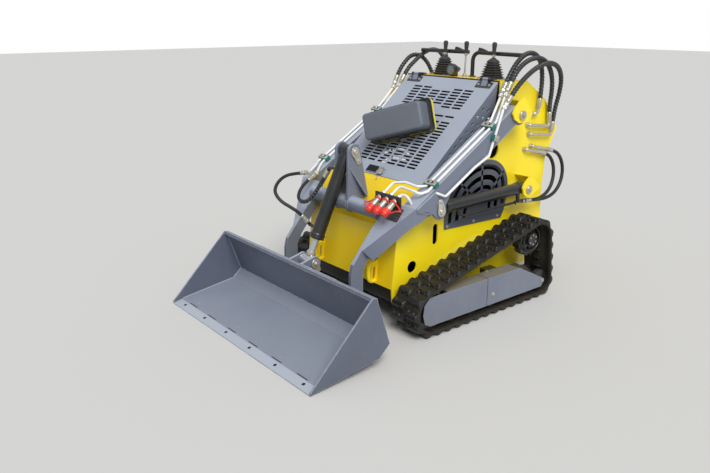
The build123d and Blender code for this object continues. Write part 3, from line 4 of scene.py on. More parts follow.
import bmesh
import bpy
import numpy as np
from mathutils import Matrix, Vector


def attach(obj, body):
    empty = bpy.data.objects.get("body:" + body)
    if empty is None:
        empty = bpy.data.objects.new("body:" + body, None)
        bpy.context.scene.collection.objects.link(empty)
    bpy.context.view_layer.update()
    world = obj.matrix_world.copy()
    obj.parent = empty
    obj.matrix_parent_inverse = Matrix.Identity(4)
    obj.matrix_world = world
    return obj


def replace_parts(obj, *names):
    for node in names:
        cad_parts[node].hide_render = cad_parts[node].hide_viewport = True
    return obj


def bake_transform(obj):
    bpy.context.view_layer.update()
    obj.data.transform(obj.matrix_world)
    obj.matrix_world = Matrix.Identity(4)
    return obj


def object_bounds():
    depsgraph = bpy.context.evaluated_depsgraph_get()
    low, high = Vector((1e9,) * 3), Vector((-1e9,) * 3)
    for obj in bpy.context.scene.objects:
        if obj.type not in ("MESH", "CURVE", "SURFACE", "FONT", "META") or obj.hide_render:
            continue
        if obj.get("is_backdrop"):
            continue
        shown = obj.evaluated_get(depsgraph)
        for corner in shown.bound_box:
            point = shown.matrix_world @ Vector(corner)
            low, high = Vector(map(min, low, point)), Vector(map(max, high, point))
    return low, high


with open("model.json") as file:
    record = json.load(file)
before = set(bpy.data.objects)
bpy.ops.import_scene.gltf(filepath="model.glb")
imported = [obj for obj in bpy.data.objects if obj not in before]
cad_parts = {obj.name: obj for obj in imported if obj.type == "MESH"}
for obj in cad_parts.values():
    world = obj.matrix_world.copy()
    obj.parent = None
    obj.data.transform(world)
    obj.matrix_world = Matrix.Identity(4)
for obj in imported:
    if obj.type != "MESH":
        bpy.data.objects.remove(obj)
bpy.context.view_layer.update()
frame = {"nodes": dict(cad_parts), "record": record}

MM = 0.001
UP, LEFT, FRONT, REAR = (0, 0, 1), (1, 0, 0), (0, -1, 0), (0, 1, 0)
RIGHT = (-1, 0, 0)
# places (Y, Z) that several pieces share
DRIVE_AXLE = (515, 325)
ARM_PIN, CYLINDER_PIN, ROD_PIN = (405, 991), (514, 592), (-143, 582)
TILT_TOP, TILT_END = (-343, 834), (-592, 312)
CROSS_TUBE = (-352, 573)


# ---- camera ----
def camera():
    """Camera ahead of the machine's left front corner, above it, looking down."""
    azimuth, elevation = math.radians(50.97), math.radians(17.3)
    back = Vector((
        math.sin(azimuth) * math.cos(elevation), -math.cos(azimuth) * math.cos(elevation),
        math.sin(elevation),
    ))
    data = bpy.data.cameras.new("camera")
    data.sensor_width = 36.0
    data.lens = 35.74
    eye = bpy.data.objects.new("camera", data)
    bpy.context.collection.objects.link(eye)
    eye.location = (2.7, -2.485, 1.4615)
    eye.rotation_euler = back.to_track_quat("Z", "Y").to_euler()
    bpy.context.scene.camera = eye


camera()


# ---- shapes ----
def unit(vectors):
    vectors = np.asarray(vectors, float)
    return vectors / np.linalg.norm(vectors, axis=-1, keepdims=True)


def beside(axis):
    """Two unit vectors square to an axis and to each other."""
    side = unit(np.cross(axis, (0.31, 0.52, 0.79)))
    return side, np.cross(axis, side)


def heading(degrees):
    """Cosine and sine of an angle."""
    return math.cos(math.radians(degrees)), math.sin(math.radians(degrees))


def arc(angle):
    """The unit circle's points (cosine, sine) at some angles."""
    return np.stack([np.cos(angle), np.sin(angle)], 1)


def circle(sides, turn=0.0):
    """The unit circle's points at even steps round a full turn."""
    return arc(np.linspace(0, 2 * np.pi, sides, endpoint=False) + turn)


def at_x(curve, x):
    """A curve (Y, Z) set in space at one X."""
    return np.concatenate([np.full((len(curve), 1), x), curve], 1)


def loft(rings, looped=False):
    """Skin over a stack of closed rings. Its two parameters are the ring and the place round it.
    Looped, the last ring joins the first; else both end rings are drawn in to their middles."""
    rings = np.asarray(rings, float)
    if looped:
        rings = np.concatenate([rings, rings[:1]])
    else:
        first, last = (np.broadcast_to(rings[k].mean(0), rings[:1].shape) for k in (0, -1))
        rings = np.concatenate([first, rings, last])
    count, sides = rings.shape[:2]
    corner = np.arange(count * sides).reshape(count, sides)
    beyond = np.roll(corner, -1, axis=1)
    quads = np.stack([corner[:-1], beyond[:-1], beyond[1:], corner[1:]], -1)
    return rings.reshape(-1, 3), quads.reshape(-1, 4)


def joined(shapes):
    """Several skins as one list of points and faces."""
    starts = np.cumsum([0] + [len(points) for points, _ in shapes[:-1]])
    points = np.concatenate([points for points, _ in shapes])
    return points, np.concatenate([faces + start for (_, faces), start in zip(shapes, starts)])


def turned(profile, place, axis, sides=24, turn=0.0):
    """Turned piece: a profile of (distance along the axis, radius) carried round the axis."""
    profile = np.asarray(profile, float)
    axis = unit(axis)
    side, other = beside(axis)
    cos, sin = circle(sides, turn).T[..., None]
    rings = np.asarray(place, float) + profile[:, 0, None, None] * axis
    return loft(rings + profile[:, 1, None, None] * (cos * side + sin * other))


def bar(radius, low, high):
    """Profile of a plain round bar."""
    return (low, 0), (low, radius), (high, radius), (high, 0)


def frames_along(line):
    """Two side vectors at each point of a line, carried along it without twist."""
    tangent = unit(np.gradient(line, axis=0))
    side = np.empty_like(tangent)
    side[0] = beside(tangent[0])[0]
    for place in range(1, len(line)):
        side[place] = unit(side[place - 1] - tangent[place] * (side[place - 1] @ tangent[place]))
    return side, np.cross(tangent, side)


def run_along(line):
    """The run from a line's start to each of its points."""
    return np.concatenate([[0], np.cumsum(np.linalg.norm(np.diff(line, axis=0), axis=1))])


def evenly(line, step):
    """A line's points moved to even steps along it."""
    line = np.asarray(line, float)
    run = run_along(line)
    even = np.linspace(0, run[-1], max(2, int(round(run[-1] / step)) + 1))
    return np.stack([np.interp(even, run, line[:, k]) for k in range(3)], 1), even


def hoops(line, side, other, radius, sides):
    """A round ring at each point of a line, drawn with two side vectors."""
    cos, sin = circle(sides).T[..., None]
    radius = np.broadcast_to(radius, (len(line), sides))[..., None]
    return line[:, None] + radius * (cos * side[:, None] + sin * other[:, None])


def tube(line, radius, sides=16):
    """Round skin along a line. Its radius is one number, or a table by place and by angle."""
    return loft(hoops(line, *frames_along(line), radius, sides))


RIPPLE = 4.2


def on_ring(place, axis, radius, thick=3):
    """Weld bead round a tube or boss: its radius swells once every ripple."""
    side, other = beside(unit(axis))
    angle = np.linspace(0, 2 * np.pi, 121)
    line = np.asarray(place) + radius * (np.cos(angle)[:, None] * side + np.sin(angle)[:, None] * other)
    swell = 1 + 0.14 * np.abs(np.sin(angle * radius / RIPPLE))
    return tube(line, (thick * swell)[:, None], 8)


def rounded(width, depth, radius, per_corner=5):
    """Closed outline of a rectangle whose corners are quarter circles."""
    angle = np.linspace(0, np.pi / 2, per_corner)
    corners = []
    for quarter, (sx, sy) in enumerate(((1, 1), (-1, 1), (-1, -1), (1, -1))):
        centre = np.array([sx * (width / 2 - radius), sy * (depth / 2 - radius)])
        corners.append(centre + radius * arc(angle + quarter * np.pi / 2))
    return np.concatenate(corners)


def slab(outline, low, high, place, across, up, edge=0.0):
    """Flat piece: an outline carried from one height to another, its rim chamfered by the edge."""
    outline = np.asarray(outline, float)
    across, up = unit(across), unit(up)
    away = unit(np.cross(across, up))
    shrink = unit(outline - outline.mean(0)) * edge
    rings = []
    for height in (low, high - edge, high) if edge else (low, high):
        flat = outline - shrink if edge and height == high else outline
        rings.append(np.asarray(place) + flat[:, :1] * across + flat[:, 1:] * up + height * away)
    return loft(rings)


def both_sides(shapes):
    """The same skins on the machine's other side too."""
    return shapes + [(points * (-1, 1, 1), faces[:, ::-1]) for points, faces in shapes]


def link(name, data):
    """A new object in the scene, unturned at the origin."""
    made = bpy.data.objects.new(name, data)
    bpy.context.collection.objects.link(made)
    return made


def evaluated(holder):
    """A new mesh of what an object's curve or modifiers make."""
    return bpy.data.meshes.new_from_object(holder.evaluated_get(bpy.context.evaluated_depsgraph_get()))


def points_of(mesh):
    points = np.zeros(len(mesh.vertices) * 3)
    mesh.vertices.foreach_get("co", points)
    return points.reshape(-1, 3) / MM


def piece(name, shapes, body, slot_name, material=None, sharp=30.0):
    """One finished object from several skins, in place, riding on a body unless it has none. Its
    material is the slot's own unless another is given."""
    points, quads = joined(shapes if isinstance(shapes, list) else [shapes])
    mesh = bpy.data.meshes.new(name)
    mesh.from_pydata((points * MM).tolist(), [], quads.tolist())
    work = bmesh.new()
    work.from_mesh(mesh)
    bmesh.ops.remove_doubles(work, verts=work.verts, dist=1e-6)
    bmesh.ops.dissolve_degenerate(work, edges=work.edges, dist=1e-7)
    bmesh.ops.recalc_face_normals(work, faces=work.faces)
    work.to_mesh(mesh)
    work.free()
    mesh.shade_smooth()
    mesh.set_sharp_from_angle(angle=math.radians(sharp))
    mesh.materials.append(material or finishes[slot_name])
    made = link(name, mesh)
    if body:
        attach(made, body)
    return made


# ---- finishes ----
def tone(colour):
    """Colour written from 0 to 255, as the shader wants it."""
    level = np.array(colour) / 255
    linear = np.where(level <= 0.04045, level / 12.92, ((level + 0.055) / 1.055) ** 2.4)
    return (*linear.tolist(), 1.0)


def node(tree, kind, feeds=None, **settings):
    """Shader node with its settings and with each input set or linked."""
    made = tree.nodes.new("ShaderNode" + kind)
    for key, value in settings.items():
        setattr(made, key, value)
    for key, value in (feeds or {}).items():
        if isinstance(value, bpy.types.NodeSocket):
            tree.links.new(value, made.inputs[key])
        else:
            made.inputs[key].default_value = value
    return made


def result(tree, kind, feeds=None, key=0, **settings):
    """One output of a new shader node."""
    return node(tree, kind, feeds, **settings).outputs[key]


def blended(tree, factor, first, second):
    # inputs 6 and 7 are the two colours, output 2 is their mix
    return result(tree, "Mix", {"Factor": factor, 6: first, 7: second}, 2, data_type="RGBA")


def ranged(tree, value, low, high, to_low=0.0, to_high=1.0):
    feeds = {"Value": value, "From Min": low, "From Max": high, "To Min": to_low, "To Max": to_high}
    return result(tree, "MapRange", feeds)


def times(tree, first, second):
    return result(tree, "Math", {0: first, 1: second}, operation="MULTIPLY")


def noise(tree, place, scale, detail, roughness=0.5):
    return result(
        tree, "TexNoise", {"Vector": place, "Scale": scale, "Detail": detail, "Roughness": roughness}
    )


# INNER_SHADE is the colour of painted shade on inward faces
DUST, INNER_SHADE, BODY_MIDDLE = (150, 131, 106), (38, 33, 12), (0.0, 0.2, 0.75)


def finish(
    name, colour, patch, rough, patches=5.0, relief=0.12, grain=420.0, metal=0.0, coat=0.0, sheen=0.0,
    soft_edge=0.0015, streaks=None, worn_lit_edges=None, dust=None, lit_top=None, inner=None,
):
    """Painted, plated or moulded finish: broad patches of tone, and a fine grain felt as bump. It may
    have edges rubbed to a second colour, partly wear and partly painted highlight along the edges
    (worn_lit_edges: amount, colour), dust that thins out up to a height (dust: amount, height, colour),
    a pale tone on what faces up, painted light from above (lit_top: amount, colour), and painted shade
    on faces toward the machine's inside (inner: those of its two sides, or those of its ends)."""
    material = bpy.data.materials.new(name)
    material.use_nodes = True
    tree = material.node_tree
    shader = tree.nodes["Principled BSDF"]
    spot = result(tree, "TexCoord", key="Object")
    normal = result(tree, "NewGeometry", key="Normal")
    place = result(tree, "Mapping", {"Vector": spot, "Scale": streaks}) if streaks else spot
    broad = noise(tree, place, patches, 5.0, 0.6)
    base = blended(tree, ranged(tree, broad, 0.34, 0.68), tone(colour), tone(patch))
    gloss = ranged(tree, broad, 0.3, 0.7, rough - 0.06, rough + 0.1)
    # edges paled by the bevel mask: partly rubbed wear, partly painted highlight where light catches them
    if worn_lit_edges:
        edge = result(tree, "Bevel", {"Radius": 0.004}, samples=4)
        bend = result(tree, "VectorMath", {0: edge, 1: normal}, "Value", operation="DOT_PRODUCT")
        chips = ranged(tree, noise(tree, place, 38.0, 4.0), 0.36, 0.62, 0.25, 1.0)
        rubbed_and_lit = times(tree, ranged(tree, bend, 0.985, 0.86), chips)
        base = blended(tree, times(tree, rubbed_and_lit, worn_lit_edges[0]), base, tone(worn_lit_edges[1]))
    if dust:
        amount, top, dust_tone = dust if len(dust) == 3 else (*dust, DUST)
        height = result(tree, "SeparateXYZ", {0: spot}, 2)
        low_down = ranged(tree, height, 0.0, top, 1.0, 0.12)
        cloud = ranged(tree, noise(tree, place, 17.0, 6.0, 0.7), 0.42, 0.72)
        cover = times(tree, times(tree, low_down, cloud), amount)
        base = blended(tree, cover, base, tone(dust_tone))
        gloss = result(tree, "Math", {0: gloss, 1: times(tree, cover, 0.5)}, operation="ADD")
    # painted light from above: faces that point up are paled toward a light tone
    if lit_top:
        upward = ranged(tree, result(tree, "SeparateXYZ", {0: normal}, 2), 0.25, 0.8, 0.0, lit_top[0])
        cloud = ranged(tree, broad, 0.3, 0.6, 0.8, 1.0)
        base = blended(tree, times(tree, upward, cloud), base, tone(lit_top[1]))
    # painted shade: faces turned toward the machine's inside, across its sides or along its ends, are
    # darkened
    if inner:
        away = result(tree, "VectorMath", {0: spot, 1: BODY_MIDDLE}, operation="SUBTRACT")
        part = (1.0, 0.0, 0.0) if inner == "sides" else (0.0, 1.0, 1.0)
        away = result(tree, "VectorMath", {0: away, 1: part}, operation="MULTIPLY")
        outward = result(tree, "VectorMath", {0: away, 1: normal}, "Value", operation="DOT_PRODUCT")
        base = blended(tree, ranged(tree, outward, -0.02, -0.06), base, tone(INNER_SHADE))
    bump = result(tree, "Bump", {
        "Strength": relief, "Distance": 0.0008, "Height": noise(tree, place, grain, 3.0),
        "Normal": result(tree, "Bevel", {"Radius": soft_edge}, samples=4),
    })
    for key, socket in (("Base Color", base), ("Roughness", gloss), ("Normal", bump)):
        tree.links.new(socket, shader.inputs[key])
    for key, value in (
        ("Metallic", metal), ("Coat Weight", coat), ("Coat Roughness", 0.12), ("Sheen Weight", sheen),
    ):
        shader.inputs[key].default_value = value
    return material


def yellow_coat(name, colour=(254, 231, 24), patch=(250, 223, 14), dust=0.08, inner=None):
    return finish(name, colour, patch, 0.34, 2.5, 0.07, coat=0.25, worn_lit_edges=(0.3, (255, 243, 150)),
                  dust=(dust, 0.4), inner=inner)


finishes = {
    # name, tone, second tone, roughness, scale of the patches, depth and scale of the grain
    "yellow_paint": yellow_coat("yellow_powder_coat"),
    # its upward faces pale to a light grey: painted light from above
    "grey_paint": finish(
        "grey_powder_coat", (116, 123, 140), (106, 113, 129), 0.4, 3.0, 0.14, coat=0.1,
        worn_lit_edges=(0.75, (178, 186, 200)), dust=(0.14, 0.35), lit_top=(0.72, (184, 192, 207)),
    ),
    "black_paint": finish(
        "black_enamel", (20, 21, 23), (27, 28, 30), 0.3, 7.0, 0.06, coat=0.25,
        worn_lit_edges=(0.5, (96, 99, 104)), dust=(0.06, 0.6), lit_top=(0.12, (150, 152, 156)),
    ),
    "track_rubber": finish(
        "track_rubber", (18, 18, 20), (26, 26, 27), 0.42, 14.0, 0.3, 240.0, soft_edge=0.0012,
        worn_lit_edges=(0.6, (104, 107, 111)), dust=(0.1, 0.6, (84, 70, 46)),
    ),
    # black plastic with a mid grey base: painted sheen, the glossy plastic's reflection taken into its
    # colour
    "black_plastic": finish(
        "black_plastic_painted_sheen", (104, 110, 120), (95, 101, 110), 0.5, 4.0, 0.3, 700.0, soft_edge=0.003,
        worn_lit_edges=(0.4, (134, 140, 150)),
    ),
    "pad_rubber": finish(
        "foamed_pad_skin", (34, 34, 35), (42, 42, 43), 0.7, 9.0, 0.5, 520.0, sheen=0.2, dust=(0.1, 1.2),
    ),
    "zinc_steel": finish(
        "zinc_plated_steel", (206, 205, 198), (184, 180, 164), 0.3, 24.0, 0.1, 260.0, metal=0.6,
        soft_edge=0.0008, worn_lit_edges=(0.3, (128, 122, 106)),
    ),
    "chrome_rod": finish(
        "hard_chrome", (222, 224, 227), (208, 211, 215), 0.14, 12.0, 0.02, metal=0.85,
        streaks=(1.0, 1.0, 0.2),
    ),
    "white_lines": finish(
        "white_painted_tube", (240, 241, 240), (228, 229, 227), 0.34, 16.0, 0.05, coat=0.3,
        soft_edge=0.001, worn_lit_edges=(0.2, (190, 190, 186)), dust=(0.08, 1.4),
    ),
    "hose_rubber": finish(
        "wrapped_hose_rubber", (27, 28, 30), (37, 38, 40), 0.5, 30.0, 0.45, 900.0, dust=(0.06, 1.4),
    ),
    "red_caps": finish(
        "soft_red_vinyl", (236, 62, 44), (216, 46, 32), 0.4, 30.0, 0.1, coat=0.2, soft_edge=0.002,
    ),
    "teal_clamp": finish(
        "teal_moulded_clamp", (24, 120, 112), (18, 104, 98), 0.48, 30.0, 0.2, soft_edge=0.001,
    ),
}
# flat black for recesses, holes, gaps and hidden insides: painted shade
shade_black = finish("unlit_recess", (13, 13, 14), (18, 18, 19), 0.7, 20.0)
boot_black = finish(
    "rubber_bellows", (38, 38, 40), (47, 47, 49), 0.6, 20.0, 0.3, 500.0, sheen=0.15, soft_edge=0.001,
    dust=(0.12, 1.6),
)
wrap_black = finish(
    "spiral_wrap", (44, 46, 50), (58, 60, 64), 0.34, 40.0, 0.15, 300.0, coat=0.2, soft_edge=0.0008,
)
lamp_glass = finish("lamp_lens", (122, 127, 130), (104, 108, 112), 0.12, 60.0, coat=0.8)
soiled = finish(
    "soiled_rubber", (19, 19, 19), (44, 37, 22), 0.7, 26.0, 0.6, 260.0, dust=(0.1, 0.9, (78, 64, 40)),
)
# its upward faces pale to a warm grey: painted light from above, the warmth for rust
shelf_grey = finish(
    "guard_powder_coat", (116, 124, 140), (107, 114, 129), 0.42, 5.0, 0.16,
    worn_lit_edges=(0.8, (184, 190, 200)), dust=(0.2, 0.35), lit_top=(0.85, (134, 128, 116)),
)
# pale grey for the bucket's weld beads and lip plate: painted highlight on the beads; the lip's paleness
# is partly a worn edge and partly painted light
pale_lit_grey = finish(
    "painted_weld_lit_pale", (142, 150, 166), (126, 134, 150), 0.38, 30.0, 0.1, coat=0.15,
    lit_top=(0.6, (196, 203, 214)),
)
grille_grey = finish(
    "grille_powder_coat", (84, 89, 99), (77, 82, 91), 0.42, 4.0, 0.12, coat=0.1,
    worn_lit_edges=(0.6, (128, 134, 146)),
)
# the grey paint darkened for the bucket, a shaded copy, with its edges paled strongly as painted highlight
shaded_bucket_grey = finish(
    "bucket_powder_coat_shaded", (95, 102, 119), (87, 94, 110), 0.42, 3.0, 0.14,
    worn_lit_edges=(0.95, (206, 213, 224)), dust=(0.08, 0.35), lit_top=(0.45, (176, 184, 199)),
)
# the end panels take a deeper, more orange yellow, a shaded copy of the yellow paint, with painted shade
# on their inward faces
shaded_yellow_ends = yellow_coat("yellow_end_panels_shaded", (255, 219, 10), (252, 212, 6), 0.06, "ends")
finish_of = {row["node"]: finishes[row["material_slot"]] for row in frame["record"]["subparts"]}
finish_of |= {
    # the engine block in flat unlit black is painted shade under the hood; the side panels get painted
    # shade on their inward faces
    "engine_block": shade_black, "side_plates": yellow_coat("yellow_side_panels", inner="sides"),
    "bucket": shaded_bucket_grey, "track_guards": shelf_grey, "front_panel": shaded_yellow_ends,
    "console_panel": shaded_yellow_ends, "rear_panel": shaded_yellow_ends,
}
for name, cad in frame["nodes"].items():
    cad.data.materials.clear()
    cad.data.materials.append(finish_of[name])


# ---- hoses ----
THICK_WRAP, THIN_WRAP = (0.05, 0.95), (0.06, 0.94)
hoses = {
    # diameter, the two bodies it joins, the wrapped share of its length, route
    "left_inner": (21, ("arms", "machine"), THICK_WRAP, (
        (402, 330, 1123), (402, 366, 1185.4), (396, 424, 1244), (389, 500, 1286), (382, 580, 1286),
        (376, 642, 1246), (371, 674, 1172), (367, 680, 1090), (367, 671, 1016),
    )),
    "left_middle": (21, ("arms", "machine"), THICK_WRAP, (
        (437, 323, 1129), (437, 360, 1188), (432, 422, 1236), (425, 500, 1262), (417, 586, 1264),
        (408, 664, 1232), (398, 722, 1166), (384, 750, 1084), (367, 762, 1008), (367, 768, 937),
    )),
    "left_outer": (21, ("arms", "machine"), THICK_WRAP, (
        (461, 295, 1068), (461, 340, 1116), (457, 402, 1162), (452, 480, 1204), (445, 566, 1232),
        (437, 652, 1238), (428, 732, 1212), (413, 786, 1152), (393, 806, 1070), (367, 809, 974),
        (367, 800, 882),
    )),
    "right_inner": (21, ("arms", "machine"), THIN_WRAP, (
        (-402, 384, 1111), (-402, 424, 1171), (-398, 482, 1216), (-393, 538, 1256), (-387, 600, 1279),
        (-381, 658, 1272), (-376, 698, 1232), (-372, 709, 1174), (-369, 710, 1118), (-367, 707, 1066),
        (-367, 700, 1016),
    )),
    "right_outer": (21, ("arms", "machine"), THIN_WRAP, (
        (-437, 366, 1106), (-437, 394, 1162), (-434, 430, 1206), (-429, 476, 1246), (-421, 534, 1250),
        (-411, 584, 1216), (-398, 614, 1164), (-383, 628, 1104), (-367, 632, 1050), (-367, 632, 1000),
    )),
    "lift_gland": (19, ("lift_barrel_left", "machine"), None, (
        (398, 596, 507), (398, 679.5, 498.2), (393, 770, 493), (387, 852, 512), (381, 908, 564),
        (375, 926, 634), (370, 905, 700), (367, 853, 745.7), (367, 787, 761),
    )),
    "lift_base": (19, ("lift_barrel_left", "machine"), None, (
        (424, 548, 520), (424, 615.6, 513), (413, 686, 512), (402, 760, 530), (391, 812, 574),
        (381, 834, 636), (373, 822, 696), (367, 780, 738.7), (367, 726, 751),
    )),
    "tilt_gland": (17, ("arms", "tilt_barrel"), None, (
        (-345, -372, 667), (-330, -440, 674), (-306, -506, 678), (-272, -568, 670), (-232, -622, 650),
        (-196, -650, 626), (-158, -640, 590), (-124, -606, 562), (-102, -568, 530), (-90, -541, 494),
    )),
    "tilt_base": (17, ("arms", "tilt_barrel"), (0.46, 0.97), (
        (-320, -335, 643), (-307, -392, 618), (-292, -434, 590), (-266, -464, 564), (-223, -478, 549),
        (-176, -467, 558), (-152, -443, 594), (-133, -425, 637), (-112, -415, 676), (-84, -410, 716),
    )),
}


def smooth_line(route):
    """The smooth line that a route's points pull along: a spline of order three, from end to end."""
    data = bpy.data.curves.new("route", "CURVE")
    data.dimensions = "3D"
    data.resolution_u = 24
    spline = data.splines.new("NURBS")
    spline.points.add(len(route) - 1)
    controls = np.ones((len(route), 4))
    controls[:, :3] = np.array(route, float) * MM
    spline.points.foreach_set("co", controls.ravel())
    spline.order_u = 3
    spline.use_endpoint_u = True
    holder = link("route", data)
    mesh = evaluated(holder)
    points = points_of(mesh)
    bpy.data.objects.remove(holder)
    bpy.data.meshes.remove(mesh)
    bpy.data.curves.remove(data)
    return points


def wrap(line, radius):
    """Spiral guard round a hose: its radius steps up by a height wherever the turn's phase, which
    grows along the line and falls round it, lies within the band."""
    pitch, height, band, sides = 17.5, 2.7, 0.62, 20
    line, run = evenly(line, 1.6)
    turn = np.linspace(0, 1, sides, endpoint=False)
    phase = (run[:, None] / pitch - turn[None]) % 1.0
    edge = np.clip(np.minimum(phase, band - phase) / 0.12, 0, 1)
    return tube(line, radius - 0.3 + height * edge * edge * (3 - 2 * edge), sides)


# each end of a hose: a crimped ferrule, as shares of the hose's radius, and a nut behind it
FERRULE = (
    (-4, 1.0), (-4, 1.24), (0, 1.3), (6, 1.3), (7.5, 1.16), (9.5, 1.3), (14.5, 1.3), (16, 1.16),
    (18, 1.3), (27, 1.3), (31, 1.18), (33, 1.0),
)
END_NUT = ((-17, 0), (-17, 12.5), (-16.5, 13.5), (-5.5, 13.5), (-4, 12.2), (-4, 0))
hose_ends = {"arms": [], "machine": [], "lift_barrel_left": [], "tilt_barrel": []}
for label, (width, (near, far), wrapped, route) in hoses.items():
    name = "hose_" + label
    line, run = evenly(smooth_line(route), 4)
    radius = width / 2
    hose = piece(name + "_skin", tube(line, radius, 20), None, "hose_rubber", sharp=35)
    extras = []
    if wrapped:
        first, last = (int(share * (len(line) - 1)) for share in wrapped)
        guard = wrap(line[first:last + 1], radius)
        extras.append(piece(name + "_wrap", guard, None, "hose_rubber", wrap_black, 50))
    for part in (hose, *extras):
        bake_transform(part)
    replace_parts(hose, name)
    profile = [(place, share * radius) for place, share in FERRULE]
    for body, end, inward in ((near, line[0], line[4] - line[0]), (far, line[-1], line[-5] - line[-1])):
        hose_ends[body] += [turned(profile, end, inward), turned(END_NUT, end, inward, 6)]
for body, shapes in hose_ends.items():
    piece("hose_ends_" + body, shapes, body, "zinc_steel", sharp=35)

# ---- tracks ----
TRACK_X, LUG, CARCASS, PITCHES = 466, 18, 15, 36
# each wheel's place (Y, Z) and the radius of the lugs' tips round it
wheels = np.array([(-262, 125, 125), (578, 88, 88), (*DRIVE_AXLE, 125)])


def belt(depth):
    """Closed line round the three wheels, a depth inside the lugs' tips: points (Y, Z), the angle of
    the outward normal and the run so far. Tangents join the wheels, arcs go round them."""
    radii = wheels[:, 2] - depth
    steps = wheels[[1, 2, 0], :2] - wheels[:, :2]
    spans = np.linalg.norm(steps, axis=1)
    leaving = np.arctan2(steps[:, 1], steps[:, 0]) - np.arccos((radii - radii[[1, 2, 0]]) / spans)
    places, normals = [], []
    for wheel, radius, start, end in zip(wheels, radii, leaving[[2, 0, 1]], leaving):
        angle = start + np.linspace(0, (end - start) % (2 * np.pi), 90)
        places.append(wheel[:2] + radius * arc(angle))
        normals.append(angle)
    places = np.concatenate(places + [places[0][:1]])
    normals = np.unwrap(np.concatenate(normals + [normals[0][:1]]))
    return places, normals, run_along(places)


def stations(depth, count, start=0):
    """Evenly spaced places on the belt, each with its outward and its forward direction, in space."""
    places, normals, run = belt(depth)
    at = (start + np.arange(count) / count * run[-1]) % run[-1]
    y, z = (np.interp(at, run, places[:, k]) for k in (0, 1))
    (cos, sin), zero = arc(np.interp(at, run, normals)).T, np.zeros(count)
    return [np.stack([zero, *pair], 1) for pair in ((y, z), (cos, sin), (-sin, cos))]


def on_belt(spots, across, rings):
    """The same small loft at every place of the belt: rings hold (across, along, rise)."""
    spot, out, ahead = (values[:, None, None] for values in spots)
    rings = np.asarray(rings, float)
    placed = spot + out * rings[..., 2:] + ahead * rings[..., 1:2]
    return [loft(stack) for stack in placed + np.array(LEFT) * (rings[..., :1] + across)]


def block(width, foot, tip, height, chamfer=4):
    """Rings of a tread block: a sunk foot, walls that lean in, a chamfer and a flat tip."""
    rings = []
    for depth, span, rise in (
        (width, foot, -3), (width - 2, foot * 0.55 + tip * 0.45, height * 0.6),
        (width - 4, tip, height - chamfer * 0.6), (width - 4 - chamfer, tip - chamfer, height),
    ):
        outline = rounded(depth, span, min(6, span * 0.3), 3)
        rings.append(np.concatenate([outline, np.full((len(outline), 1), rise)], 1))
    return np.array(rings)


tread = []
half_pitch = belt(LUG)[2][-1] / (2 * PITCHES)
for spots, sign in ((stations(LUG, PITCHES), 1), (stations(LUG, PITCHES, half_pitch), -1)):
    for across, sizes in (
        (48.5, (78, 36, 24, LUG - 0.4)), (79, (20, 50, 34, 10.5)),
        (18, (22, 52, 30, 12.5)), (50, (30, 46, 30, 15)),
    ):
        tread += on_belt(spots, sign * across, block(*sizes))
_, inner_normals, inner_run = belt(LUG + CARCASS)
# one drive lug in each scallop of the sprocket: its twelve scallops start at the axle's height
drive_count = int(round(inner_run[-1] / (2 * np.pi * 91.5 / 12)))
in_scallop = np.interp(math.radians(420), inner_normals, inner_run)
drive_lug = block(40, 17, 8, 8.5, chamfer=3) * (1, 1, -1)
drive_lugs = on_belt(stations(LUG + CARCASS, drive_count, in_scallop), 0, drive_lug)
# the belt's section (across, rise): a rounded outer edge, and shallow wheel paths inside
half_band = [
    (85, 0), (88.5, -1.2), (90, -4), (90, -11.5), (88, -14.2), (84, -15), (68, -15), (66, -13.8),
    (34, -13.8), (32, -15),
]
band = np.array([(-x, rise) for x, rise in half_band[2::-1]] + half_band
                + [(-x, rise) for x, rise in half_band[:2:-1]])
spot, out, _ = (values[:, None] for values in stations(LUG, 420))
carcass = [loft(spot + out * band[None, :, 1:] + np.array(LEFT) * band[None, :, :1], looped=True)]
for side, label in ((1, "left"), (-1, "right")):
    for shapes, part, rubber in (
        (carcass, "belt_", soiled), (tread, "tread_lugs_", None), (drive_lugs, "drive_lugs_", None),
    ):
        moved = [((points + (TRACK_X, 0, 0)) * (side, 1, 1), faces) for points, faces in shapes]
        made = piece(part + label, moved, "machine", "track_rubber", rubber, 40)
        if part == "belt_":
            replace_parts(made, "track_" + label)


# ---- bolts and pins ----
def bolt(place, axis, size, washer=True):
    """Hexagon head on a washer; its size is the head's radius."""
    seat = 0.22 * size if washer else 0.0
    head = turned(((seat * 0.5, 0), (seat * 0.5, size), (seat + 0.55 * size, size),
                   (seat + 0.68 * size, 0.86 * size), (seat + 0.68 * size, 0.45 * size),
                   (seat + 0.6 * size, 0)), place, axis, 6)
    ring = ((0, 0), (0, 1.42 * size), (0.7 * seat, 1.42 * size), (seat, 1.32 * size), (seat, 0))
    return [turned(ring, place, axis, 20), head] if washer else [head]


def pin_end(place, axis, radius):
    """End of a turned pin: a chamfered rim, a ring groove and a centre mark."""
    return turned((
        (-2, 0), (-2, radius * 1.18), (1.5, radius * 1.18), (2, radius), (5.5, radius),
        (7, radius * 0.86), (7, radius * 0.3), (5.2, 0),
    ),
                  place, axis, 28)


